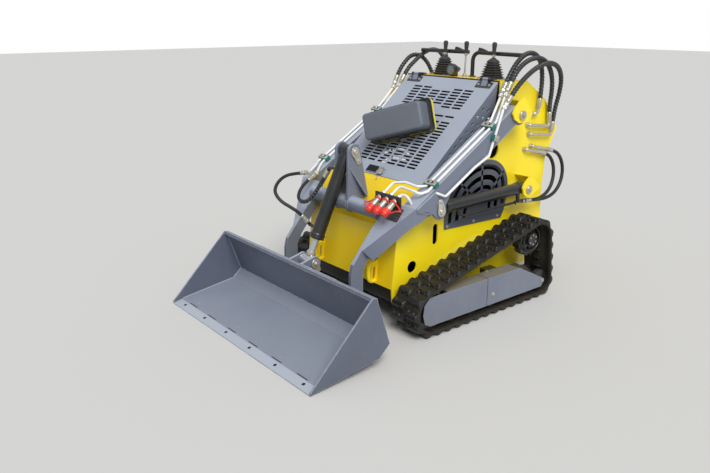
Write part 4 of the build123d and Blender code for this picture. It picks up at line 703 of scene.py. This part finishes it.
def locking_plate(x, pin, towards):
    """Egg-shaped plate over a pin's end, held by one bolt in its narrow end."""
    wide, narrow, thick = 24.5, 14, 3.4
    pin, towards = np.array(pin), np.array(towards)
    run = np.linalg.norm(towards - pin)
    ahead = (0, *(towards - pin) / run)
    lean = math.acos((wide - narrow) / run)
    far, near = arc(np.linspace(-lean, lean, 16)), arc(np.linspace(lean, 2 * np.pi - lean, 30))
    outline = np.concatenate([narrow * far + (run, 0), wide * near])
    plate = slab(outline, 0, thick, (x, *pin), ahead, np.cross(LEFT, ahead), 0.8)
    top = x + thick
    return [plate, pin_end((top, *pin), LEFT, 12.5)] + bolt((top, *towards), LEFT, 6.2)


# the faces (X) of the body, the arms, the ears and the track guards, and the hood's hinges
BODY, ARM_SIDE, EAR, GUARD, HINGE_X = 345, 450, 466, 544, 255
fixed = []
for x, y, z, size in (
    (BODY + 4, 17, 453, 6.2), (BODY + 4, 215, 448, 6.2), (BODY + 4, 402, 444, 6.2),
    (GUARD, 168, 113, 7.5), (GUARD, 578, 89, 7.5),
):
    fixed += both_sides(bolt((x, y, z), LEFT, size))
fixed += both_sides(bolt((470, 197, 206), UP, 7.5))
for degrees in range(30, 390, 60):
    hub = (510, *(np.array(DRIVE_AXLE) + 25 * np.array(heading(degrees))))
    fixed += both_sides(bolt(hub, LEFT, 4.6, washer=False))
# the arm's pin and the lift cylinder's rear pin, each held by a bolt in its head
for pin, face, head in ((ARM_PIN, EAR, 24), (CYLINDER_PIN, EAR - 10, 21)):
    flange = turned(((0, head), (4, head), (5.5, head - 1.5), (5.5, 0)), (face + 6, *pin), LEFT, 32)
    fixed += both_sides([flange] + bolt((face + 11.5, *pin), LEFT, 9.5))
for x in (-HINGE_X, HINGE_X):
    for shift in (-27, 27):
        fixed += bolt((x + shift, 392, 1156.6), UP, 5.6)
on_arms = both_sides(locking_plate(461, ROD_PIN, (-152, 631)))
on_arms += locking_plate(59, TILT_TOP, (-321, 787)) + [pin_end((-57, *TILT_TOP), RIGHT, 12)]
cap_disc = ((0, 24), (3.5, 24), (5, 22.5), (5, 0))
on_bucket = both_sides([turned(cap_disc, (58, *TILT_END), LEFT, 36)] + bolt((63, *TILT_END), LEFT, 9.2))
on_bucket += both_sides([pin_end((305, -512, 150), LEFT, 16.5)])
for body, shapes in (("machine", fixed), ("arms", on_arms), ("bucket", on_bucket)):
    piece("bolts_" + body, shapes, body, "zinc_steel")

rims = both_sides([on_ring((500.5, *DRIVE_AXLE), LEFT, 66, 4.2)])
piece("sprocket_rims", rims, "machine", "black_paint", sharp=50)

# tie-down loops: round bar bent to a closed loop, its rear side welded to the front panel
turn = np.linspace(0, 2 * np.pi, 65)
squared = [np.sign(wave) * np.abs(wave) ** 0.75 for wave in arc(turn).T]
loop_line = np.stack([np.full(65, 220), -360 + 31 * squared[0], 262 + 47 * squared[1]], 1)
loop_line = evenly(loop_line, 4)[0][:-1]
ahead = unit(np.roll(loop_line, -1, 0) - np.roll(loop_line, 1, 0))
across = np.broadcast_to((1.0, 0, 0), ahead.shape)
loop_rings = hoops(loop_line, across, np.cross(across, ahead), 10.5, 16)
loops = both_sides([loft(loop_rings, looped=True)])
piece("tie_down_loops", loops, "machine", "yellow_paint", sharp=40)

# ---- side grilles ----
# two circles (centre in Y, Z and radius) and the angle at which they meet
GRILLE_FRONT, GRILLE_REAR = (np.array((281, 476)), 285), (np.array((312, 595)), 162.03)
GRILLE_JOIN = math.atan2(595 - 476, 312 - 281)
GRILLE_IN, GRILLE_OUT = BODY, BODY + 4


def dome(inset):
    """The grille's curve (Y, Z), moved in by an inset: up its rear edge, two arcs, down to the floor."""
    late = np.linspace(0, GRILLE_JOIN, 26)
    early = np.linspace(GRILLE_JOIN, np.pi, 56)[1:]
    arcs = [centre + (radius - inset) * arc(turn)
            for (centre, radius), turn in ((GRILLE_REAR, late), (GRILLE_FRONT, early))]
    foot = np.array([(474 - inset if inset else 463, 509 - 0.1 * inset), (474 - inset, 552)])
    return np.concatenate([foot, *arcs, [(inset - 4, 461.3 + 0.1 * inset)]])


def strip(first, second, low=GRILLE_IN, high=GRILLE_OUT):
    """Flat bar between two curves of the same length, standing from one X to another."""
    first, second = np.asarray(first, float), np.asarray(second, float)
    corners = ((first, low), (second, low), (second, high), (first, high))
    return loft(np.stack([at_x(curve, x) for curve, x in corners], 1))


def by_angle(outline):
    """A closed outline's points where 96 evenly turned rays from the slot's middle cross it."""
    sweep = np.linspace(-np.pi, np.pi, 96, endpoint=False)
    closed = np.concatenate([outline, outline[:1]])
    share = np.linspace(0, len(outline), 2000, endpoint=False)
    dense = np.stack([np.interp(share, range(len(closed)), closed[:, k]) for k in (0, 1)], 1) - slot_middle
    turn = np.arctan2(dense[:, 1], dense[:, 0])
    order = np.argsort(turn)
    far = np.interp(sweep, turn[order], np.linalg.norm(dense, axis=1)[order], period=2 * np.pi)
    return slot_middle + far[:, None] * arc(sweep)


bars = [strip(dome(first), dome(second)) for first, second in ((0, 24), (51, 78), (105, 132))]
# the middle is a plate with one slot, both outlines taken at the same angles round the slot
slot_middle = np.array((293, 590))
core, hole = by_angle(dome(155)), by_angle(slot_middle + rounded(40, 11, 5.4, 6))
corners = ((core, GRILLE_IN), (hole, GRILLE_IN), (hole, GRILLE_OUT), (core, GRILLE_OUT))
bars.append(loft(np.stack([at_x(curve, x) for curve, x in corners]), looped=True))
for degrees, reach in ((45, 231), (92, 229), (139, 235)):
    ahead = np.array(heading(degrees))
    half = np.array((-ahead[1], ahead[0])) * 6
    ends = np.array((270, 520)) + np.array([[62], [reach]]) * ahead
    bars.append(strip(ends + half, ends - half))
bars.append(strip([(-4, 461.8), (431, 505.3), (463, 509.5)], [(-2, 440), (431, 428), (459, 481)]))
grille = piece("side_grilles", both_sides(bars), "machine", "grey_paint", grille_grey)
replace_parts(grille, "vent_grilles")
# dark strips on the side plate behind the grille and along the floor under its slots: drawn as seals,
# their black is painted shade where the yellow plate would show through
shade_seals = [
    strip(dome(20), dome(36), GRILLE_IN, GRILLE_IN + 0.4),
    strip([(454, 600), (454, 506)], [(436, 600), (398, 492)], GRILLE_IN, GRILLE_IN + 0.5),
    strip([(10, 459), (412, 500)], [(32, 474), (402, 497)], GRILLE_IN, GRILLE_IN + 0.6),
]
piece("grille_shade_seals", both_sides(shade_seals), "machine", "black_paint", shade_black)


# ---- weld beads ----
rng = np.random.default_rng(41)
welds = {"bucket": [], "arms": [], "machine": []}


def bead(start, end, radius=3):
    """Weld bead: a round line whose radius swells once every ripple, a little unevenly."""
    line, run = evenly(np.array([start, end], float), 1.8)
    swell = 1 + 0.13 * np.abs(np.sin(run / RIPPLE)) + 0.05 * rng.standard_normal(len(run))
    swell *= np.clip(np.minimum(run, run[-1] - run) / 6 + 0.3, 0, 1)
    return tube(line, (radius * swell)[:, None], 8)


def weld(body, x, radius, *corners):
    """Beads from corner to corner (Y, Z) of a line on a face, on both of the machine's sides."""
    for first, last in zip(corners, corners[1:]):
        welds[body] += both_sides([bead((x, *first), (x, *last), radius)])


weld("bucket", 622, 3.2, (-985, 15.5), (-674, 61), (-621, 108), (-697.5, 322))
welds["bucket"].append(bead((-320, -611.8, 100), (320, -611.8, 100)))
for x in (257, 269, 289, 301):
    weld("bucket", x, 2.5, (-606, 128), (-647.5, 232))
for x, radius, thick in ((263, 38.5, 3), (40.5, 39.5, 2.8), (55.5, 39.5, 2.8)):
    welds["arms"] += both_sides([on_ring((x, *CROSS_TUBE), LEFT, radius, thick)])
cos, sin = heading(31.5)
arm_ahead, arm_out = np.array((0, cos, sin)), np.array((0, -sin, cos))
arm_start = np.array((0, -303, 620))
for x in (365.5, 449.5):
    for rise, run in ((0, 30), (-81, 360)):
        edge = arm_start + arm_out * rise + (x, 0, 0)
        welds["arms"] += both_sides([bead(edge + arm_ahead * run, edge + arm_ahead * 740, 1.6)])
weld("arms", ARM_SIDE + 1, 2.4, (-297, 616), (-184, 678), (-111, 590), (-122, 554),
     (-190, 574), (-290, 598), (-297, 616))
for x, radius, first, last in (
    (BODY + 1, 2.8, (433, 1061.6), (490, 1000)), (BODY + 1, 2.8, (536, 658), (608, 595)),
    (213, 2.6, (-346, 210), (-334, 322)), (227, 2.6, (-346, 210), (-334, 322)),
):
    weld("machine", x, radius, first, last)
# the bucket's beads take the pale grey: painted highlight
for body, slot_name, material in (
    ("bucket", "grey_paint", pale_lit_grey), ("arms", "grey_paint", None), ("machine", "yellow_paint", None),
):
    piece("weld_beads_" + body, welds[body], body, slot_name, material, 60)
# gussets from the tilt bracket's outer faces down to the cross tube
gusset = np.array([(54.5, -372, 757), (54.5, -266, 602), (100, -296, 610)])
thick = unit(np.cross(gusset[1] - gusset[0], gusset[2] - gusset[0])) * 3.5
gussets = both_sides([loft(np.stack([gusset - thick, gusset + thick]))])
gussets += both_sides([bead(gusset[0] + (1, 0, 0), gusset[1] + (1, 0, 0), 3.4)])
piece("bracket_gussets", gussets, "arms", "grey_paint")

# the slot in each track guard's shelf, a black slab as painted shade, and the dark joint between its two
# halves
marks = [slab(rounded(*size), -0.4, 0.3, place, REAR, up) for size, place, up in (
    ((72, 12, 5, 4), (470, -102, 206), RIGHT), ((3.5, 146, 1, 3), (GUARD, 124, 132), UP),
    ((3.5, 83, 1, 3), (502, 124, 206), RIGHT),
)]
piece("guard_gaps", both_sides(marks), "machine", "black_paint", shade_black, 35)

# the bucket's lip: a paler strip, partly a worn edge and partly painted light, filled holes behind it,
# and bolt holes and gaps between stitch welds drawn in flat black as painted shade
fall = unit((0, 60, 13))
SIX = np.linspace(-1, 1, 6)
plugs = [turned(bar(9.2, -10, 0), (x, -948, 20.9), UP, 24) for x in SIX * 500]
for name, outline, low, high, row, y, z, slot_name, material in (
    ("lip_plate", rounded(1243, 50, 1, 3), -0.4, 0.2, [0], -1014, 8.63, "grey_paint", pale_lit_grey),
    ("edge_bolt_holes", 8.5 * circle(24), -0.8, 0.4, SIX * 542, -1010, 9.5, "black_paint", shade_black),
    ("edge_stitch_gaps", rounded(78, 4, 1.9, 4), -0.6, 0.5, SIX * 495, -983.5, 15.3, "black_paint",
     shade_black),
):
    made = [slab(outline, low, high, (x, y, z), LEFT, fall) for x in row]
    piece(name, made, "bucket", slot_name, material, 35)
piece("edge_hole_plugs", plugs, "bucket", "grey_paint", shaded_bucket_grey, 35)


# ---- hydraulic lines and couplers ----
def clamp_cover(place, across, ahead, width):
    """Zinc cover plate with one bolt on a moulded clamp."""
    up = unit(np.cross(across, ahead))
    plate = slab(rounded(width, 30, 3, 3), 0, 3, place, across, ahead, 0.6)
    return [plate] + bolt(place + up * 3, up, 6.2)


covers = []
for run in (158, 608):
    spot = arm_start + arm_ahead * run + arm_out * 24.6 + (419.5, 0, 0)
    covers += both_sides(clamp_cover(spot, LEFT, arm_ahead, 70))
side_low = np.array((461, 174, 810))
side_run = unit(np.array((461, 263.54, 1034.44)) - side_low)
side_spot = side_low + side_run * 92 + (14.2, 0, 0)
covers += clamp_cover(side_spot, np.cross(side_run, LEFT), side_run, 30)
piece("clamp_covers", covers, "arms", "zinc_steel")

COUPLER_AHEAD = -np.array((0, *heading(35)))
SLEEVE = (
    (0, 0), (0, 14.6), (15.5, 14.6), (16.2, 13.5), (18, 15.5), (22, 15.5), (23, 14.6), (25, 15.5),
    (29, 15.5), (30, 14.6), (32, 15.5), (48, 15.7), (50.5, 13.5), (55, 13.2), (57, 15), (86, 15),
    (88, 13.8), (88, 0),
)
SLEEVE_NUT = ((-10, 0), (-10, 11.5), (-8.8, 12.8), (0, 12.8), (0, 0))
CAP = (
    (80, 0), (80, 19.6), (84, 20.4), (88, 19.8), (98, 19.8), (100, 20.5), (106, 20.5), (112, 19),
    (114, 15), (118.5, 14), (120.5, 11.5), (120.5, 0),
)
sleeves, caps, straps = [], [], []
share = np.linspace(0, 1, 40)
for x, side, reach in ((250, -1, 46), (304, 1, 30), (358, 1, 60)):
    rear = np.array((x, -326, 659))
    sleeves += [turned(SLEEVE, rear, COUPLER_AHEAD, 28), turned(SLEEVE_NUT, rear, COUPLER_AHEAD, 6)]
    caps.append(turned(CAP, rear, COUPLER_AHEAD, 28))
    # moulded strap from the cap back round its coupler
    out = side * reach * np.sin(np.pi * share) ** 0.8
    line = rear + (104 - 66 * share)[:, None] * COUPLER_AHEAD
    line = line + np.stack([side * 16.5 + out, 0 * out, 10 * np.sin(2 * np.pi * share)], 1)
    straps += [tube(line, 3.6, 10), on_ring(rear + 38 * COUPLER_AHEAD, COUPLER_AHEAD, 18, 3.4)]
piece("coupler_sleeves", sleeves, "arms", "zinc_steel")
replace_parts(piece("dust_caps", caps, "arms", "red_caps", sharp=40), "coupler_caps")
piece("cap_straps", straps, "arms", "red_caps", sharp=60)

# unions on the rigid lines where the hoses start
NUT = ((0, 0), (0, 11.2), (1.2, 12.4), (13.5, 12.4), (14.7, 11.2), (14.7, 0))
unions = []
for _, (near, _), _, route in hoses.values():
    if near == "arms":
        end, back = np.array(route[0]), np.array(route[1])
        away = unit(end - back)
        unions += [turned(NUT, end + away * start, away, 6, 0.3) for start in (14, 34)]
        unions.append(turned(bar(10.4, 0, 46), end, away, 20))
piece("line_unions", unions, "arms", "zinc_steel")


# ---- cylinders ----
def gland(x, base, eye, length, radius, rod):
    """Gland collar with its wiper at the end of a barrel, and the weld ring at its base."""
    base = np.array((x, *base))
    ahead = unit(np.array((x, *eye)) - base)
    grip = radius + 3
    collar = (
        (-26, 0), (-26, grip), (-22, grip + 1.2), (-13, grip + 1.2), (-12, grip - 0.5),
        (-10, grip - 0.5), (-9, grip + 1.2), (-2, grip + 1.2), (1, grip - 2), (1, rod + 6), (4, rod + 5),
        (4, rod + 0.4), (-4, rod + 0.4),
    )
    return [turned(collar, base + ahead * length, ahead, 40),
            on_ring(base + ahead * 38, ahead, radius + 0.2, 2.6)]


for body, sizes in (
    ("lift_barrel_left", (407.5, CYLINDER_PIN, ROD_PIN, 588, 31, 15)),
    ("lift_barrel_right", (-407.5, CYLINDER_PIN, ROD_PIN, 588, 31, 15)),
    ("tilt_barrel", (0, TILT_TOP, TILT_END, 462, 34, 17.5)),
):
    piece("gland_" + body, gland(*sizes), body, "black_paint")
rod_neck = ((-52, 0), (-52, 21.5), (-49, 23.5), (-34, 23.5), (-28, 21.5), (-28, 0))
collars = [turned(rod_neck, (0, *TILT_END), (0, -249, -522), 28)]
for x, out in ((-36, RIGHT), (36, LEFT)):
    washer = ((0, 16.5), (0, 28.5), (1.8, 30), (1.8, 16.5))
    collars.append(turned(washer, (x, *TILT_END), out, 28))
piece("rod_eye_collar", collars, "tilt_rod", "zinc_steel")
pipe_nuts = [turned(NUT, start, ahead, 6, 0.2) for start, ahead in (
    ((398, 484, 513.3), REAR), ((398, 550, 511.7), (0, 0.9945, -0.1036)),
    ((424, 508, 524.1), (0, 0.9947, -0.1031)),
)]
piece("pipe_nuts", pipe_nuts, "lift_barrel_left", "zinc_steel")

# ---- hood ----
hood_up = unit((0, 526, 462))
hood_out = np.array((0, -hood_up[2], hood_up[1]))


def on_hood(x, along_slope, height=0):
    return np.array((0, -156, 684)) + hood_up * along_slope + hood_out * height + (x, 0, 0)


def hood_plate(outline, low, high, x, along_slope, edge):
    return slab(outline, low, high, on_hood(x, along_slope), LEFT, hood_up, edge)


grip = [hood_plate(rounded(80, 40, 6, 4), 4, 5.6, -52, 32, 0.4)]
for shift in np.linspace(-30, 30, 7):
    grip.append(hood_plate(rounded(4, 32, 1.8, 3), 5, 7.2, -52 + shift, 32, 0.6))
# the grip is drawn in the flat unlit black: painted shade
piece("latch_grip", grip, "hood", "black_plastic", shade_black)
lever = [(-15, -22), (15, -22), (12, 12), (6, 24), (-6, 24), (-12, 12)]
hasp = [
    hood_plate(lever, 13.5, 16.5, 22, 24, 0.8), turned(bar(4.2, -19, 19), on_hood(22, 40, 15), LEFT, 16),
    hood_plate(rounded(10, 30, 3, 3), 0.5, 3.5, 22, -12, 0.6),
]
piece("latch_hasp", hasp, "hood", "zinc_steel")
leaves, screws = [], []
for x in (-HINGE_X, HINGE_X):
    leaves.append(hood_plate(rounded(104, 40, 4, 3), 0, 2.4, x, 672, 0.5))
    for shift in (-36, 36):
        screws += bolt(on_hood(x + shift, 672, 2.4), hood_out, 5.2)
piece("hinge_leaves", leaves, "hood", "black_paint")
piece("hinge_screws", screws, "hood", "zinc_steel")

# ---- air cleaner ----
# its own three directions and the middle of its front face
box_long = unit((0.889, 0.363, 0.279))
box_rear = unit((-0.327, 0.93, -0.166))
box_down = np.cross(box_rear, box_long)
box_face = np.array((16, -72.5, 956.5))


def on_box(along, fall, depth):
    return box_face + box_long * along + box_down * fall + box_rear * depth


def frame_ring(width, depth, low, high, grow):
    """Rim round the cleaner's box, from one depth behind its face to another."""
    corner = 22
    outer = rounded(width + 2 * grow, depth + 2 * grow, corner + grow, 6)
    inner = rounded(width - 6, depth - 6, corner, 6)
    sections = ((inner, low), (outer, low), (outer, high), (inner, high))
    return loft([on_box(flat[:, :1], flat[:, 1:], height) for flat, height in sections], looped=True)


cleaner_rim = [frame_ring(372, 174, 108.5, 126.5, 1)]
piece("cleaner_frame", cleaner_rim, "hood", "yellow_paint")
seal = [
    frame_ring(341, 143, 90, 94.5, 2.2), frame_ring(341, 143, 96.5, 102, 7),
    frame_ring(372, 174, 102, 108.6, 1.6),
]
piece("cleaner_seal", seal, "hood", "black_plastic", boot_black, 40)
slots = [
    slab(rounded(7.2, 6.2, 1, 3), -1.2, 0.5, on_box(first + 11.5 * rib, 79, 114.6), box_long, box_down)
    for first in (-128, 40) for rib in range(9)
]
piece("cleaner_slots", slots, "hood", "yellow_paint", sharp=40)
clips = [
    slab(rounded(22, 30, 3, 3), 0, 3.5, on_box(along, edge * 72.2, 98), box_long, box_rear * -edge, 0.8)
    for along in (-110, 0, 110) for edge in (-1, 1)
]
piece("cleaner_clips", clips, "hood", "black_plastic")

# ---- controls ----
LEVER_X, LEVER_Y = 177, 500
deck_ahead = unit((0, 211, -9))
deck_out = np.array((0, -deck_ahead[2], deck_ahead[1]))


def on_deck(x, y=LEVER_Y, height=0):
    return np.array((x, y, 1153 - (y - 372) * 9 / 211 + 0.3)) + deck_out * height


def bellows(x):
    """Rubber boot: rings of a rounded square whose half width falls in a zigzag as the height grows."""
    heights, halves = [0, 3], [54, 54]
    for rib in range(6):
        low, half = 3 + rib * 13, 53 - rib * 3.2
        heights += [low + 1, low + 5, low + 6.6, low + 10.5, low + 12.5]
        halves += [half - 10.5, half - 1.2, half, half - 10, half - 11.2]
    heights = np.array(heights + [83, 85, 93, 100, 105, 109, 109.5])
    halves = np.array(halves + [30, 31, 27, 18, 11, 9, 5])
    cos, sin = circle(48).T
    power = np.interp(heights, (50, 100), (6.0, 2.2))[:, None]
    flat = halves[:, None] * (np.abs(cos) ** power + np.abs(sin) ** power) ** (-1 / power)
    return loft(
        on_deck(x) + heights[:, None, None] * deck_out
        + (flat * cos)[..., None] * np.array(LEFT) + (flat * sin)[..., None] * deck_ahead
    )


KNOB = (
    (124, 0), (124, 8), (127, 9.2), (138, 9.8), (155, 11.2), (168, 12.6), (178, 13), (184, 11.2),
    (187.2, 7), (188, 0),
)
LOCK_NUT = ((112, 0), (112, 7.8), (114.5, 8.8), (121, 8.8), (124, 7.4), (124, 0))
SOCKET = ((0, 0), (0, 15), (4, 15), (8, 10), (14, 8.5), (14, 0))
boots = [bellows(-LEVER_X), bellows(LEVER_X)]
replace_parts(piece("lever_boots", boots, "machine", "black_plastic", boot_black, 50), "control_levers")
rods, knobs, plates, screws = [], [], [], []
for x in (-LEVER_X, LEVER_X, -20):
    rods += [turned(bar(4.5, 0, 130), on_deck(x), deck_out, 16),
             turned(LOCK_NUT, on_deck(x), deck_out, 6)]
    knobs.append(turned(KNOB, on_deck(x), deck_out, 28))
rods.append(turned(SOCKET, on_deck(-20), deck_out, 24))
for x in (-LEVER_X, LEVER_X):
    plates.append(slab(rounded(118, 118, 10, 4), 0, 2.2, on_deck(x), LEFT, deck_ahead, 0.5))
    for sx in (-52, 52):
        for sy in (-52, 52):
            screws += bolt(on_deck(x + sx, LEVER_Y + sy, 2.2), deck_out, 3.6, washer=False)
piece("lever_rods", rods, "machine", "zinc_steel")
piece("lever_knobs", knobs, "machine", "black_plastic", boot_black, 40)
piece("boot_plates", plates, "machine", "black_paint")
piece("boot_screws", screws, "machine", "zinc_steel")

# work lamp: rim, dished reflector and ribbed lens
lamp = np.array((-36, 405, 1187))
share = np.linspace(0, 1, 9)
rim = ((-6, 26.2), (-6, 31.6), (1.5, 31.6), (3, 30), (3, 27.5), (0, 26.2))
dish = [(-4.8 + 3 * d * d, 25.5 * d) for d in share] + [(-4.9, 25.5), (-4.9, 0)]
glass = [(0.8 + 1.4 * math.cos(d * math.pi / 2), 25.7 * d) for d in share]
rim, dish, glass = (turned(profile, lamp, FRONT, 40) for profile in (
    rim, dish, glass + [(0.1, 25.7), (0.1, 0)]))
lens = [glass]
for shift in np.linspace(-18, 18, 7):
    half = math.sqrt(24.5 ** 2 - shift ** 2)
    line = lamp + np.stack([np.full(12, shift), np.full(12, -2), np.linspace(-half, half, 12)], 1)
    lens.append(tube(line, 0.7, 6))
piece("lamp_rim", rim, "machine", "black_paint")
piece("lamp_reflector", dish, "machine", "chrome_rod", sharp=60)
piece("lamp_lens", lens, "machine", "chrome_rod", lamp_glass, 60)

# ---- platform ----
studs = []
outline = circle(12) * (8.5, 2.6)
for row in range(9):
    for column in range(20):
        spot = (-235 + column * 24.7, 838 + row * 23.5, 166)
        cos, sin = heading(45 if (row + column) % 2 else -45)
        studs.append(slab(outline, -0.5, 1.6, spot, (cos, sin, 0), (-sin, cos, 0), 0.8))
piece("platform_tread", studs, "platform", "black_paint")


# ---- knee pad ----
def swelled(pad, start):
    """The pad's points after twenty steps of cloth under pressure, none moved more than 8 mm."""
    cloth = pad.modifiers.new("cloth", "CLOTH")
    cloth.settings.use_pressure = True
    cloth.settings.uniform_pressure_force = 4.0
    cloth.settings.effector_weights.gravity = 0.0
    cloth.settings.quality = 5
    for step in range(1, 21):
        bpy.context.scene.frame_set(step)
    mesh = evaluated(pad)
    bpy.context.scene.frame_set(1)
    pad.modifiers.clear()
    shift = points_of(mesh) - start
    bpy.data.meshes.remove(mesh)
    size = np.linalg.norm(shift, axis=1, keepdims=True)
    return start + shift * np.minimum(1, 8 / np.maximum(size, 1e-6))


def knee_pad():
    """Stuffed pad on the rear panel: a rounded slab, swelled as cloth under pressure, flat at its back."""
    width, height, depth, back, middle = 500, 160, 26, 779.5, 617
    rings = []
    for inset, rise in ((6, 0), (0, 4), (0, depth - 8), (3, depth - 2), (10, depth)):
        shape = rounded(width - 2 * inset, height - 2 * inset, 36 - inset, 8)
        rings.append(np.stack([shape[:, 0], np.full(len(shape), back + rise), middle + shape[:, 1]], 1))
    pad = piece("knee_pad_cover", loft(rings), None, "pad_rubber", sharp=60)
    remesh = pad.modifiers.new("remesh", "REMESH")
    remesh.mode = "VOXEL"
    remesh.voxel_size = 0.005
    dense = evaluated(pad)
    pad.modifiers.clear()
    pad.data = dense
    shaped = points_of(dense)
    shaped = swelled(pad, shaped)
    # flat against the panel, and a stitched channel pressed in near its rim
    shaped[:, 1] = np.clip(shaped[:, 1], back, back + 34.5)
    across, up = (np.abs(shaped[:, k] - mid) / (size / 2 - 24)
                  for k, mid, size in ((0, 0.0, width), (2, middle, height)))
    groove = np.exp(-((np.maximum(across, up) - 1.0) / 0.035) ** 2)
    shaped[:, 1] -= 2.8 * groove * (shaped[:, 1] > back + 12)
    dense.vertices.foreach_set("co", (shaped * MM).ravel())
    dense.materials.clear()
    dense.materials.append(finishes["pad_rubber"])
    dense.shade_smooth()
    smooth = pad.modifiers.new("smooth", "SUBSURF")
    smooth.levels = smooth.render_levels = 1
    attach(pad, "machine")
    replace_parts(pad, "knee_pad")


knee_pad()

# ---- floor and light ----
reach = 30.0
floor_mesh = bpy.data.meshes.new("floor")
floor_mesh.from_pydata([(x * reach, y * reach, 0) for x, y in ((-1, -1), (1, -1), (1, 1), (-1, 1))], [],
                       [(0, 1, 2, 3)])
pale = bpy.data.materials.new("pale_floor")
pale.use_nodes = True
paint = pale.node_tree.nodes["Principled BSDF"].inputs
paint["Base Color"].default_value = (0.62, 0.615, 0.6, 1)
paint["Roughness"].default_value = 0.9
floor_mesh.materials.append(pale)
link("floor", floor_mesh)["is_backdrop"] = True

# a soft sky lights the machine, and the camera sees plain white behind it
world = bpy.data.worlds.new("studio")
world.use_nodes = True
tree = world.node_tree
sky = tree.nodes["Background"]
sky.inputs["Color"].default_value = (0.93, 0.96, 1.0, 1)
sky.inputs["Strength"].default_value = 0.5
backdrop = result(tree, "Background", {"Color": (1, 1, 1, 1), "Strength": 1.0})
seen = result(tree, "LightPath", key="Is Camera Ray")
mix = result(tree, "MixShader", {0: seen, 1: sky.outputs[0], 2: backdrop})
tree.links.new(mix, tree.nodes["World Output"].inputs["Surface"])
bpy.context.scene.world = world

sun = bpy.data.lights.new("softbox", "SUN")
sun.energy = 2.65
sun.angle = math.radians(32)
sun.color = (1.0, 0.985, 0.96)
link("softbox", sun).rotation_euler = Vector((0.62, -0.3, 0.72)).to_track_quat("Z", "Y").to_euler()

bpy.context.scene.view_settings.view_transform = "Standard"

low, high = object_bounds()
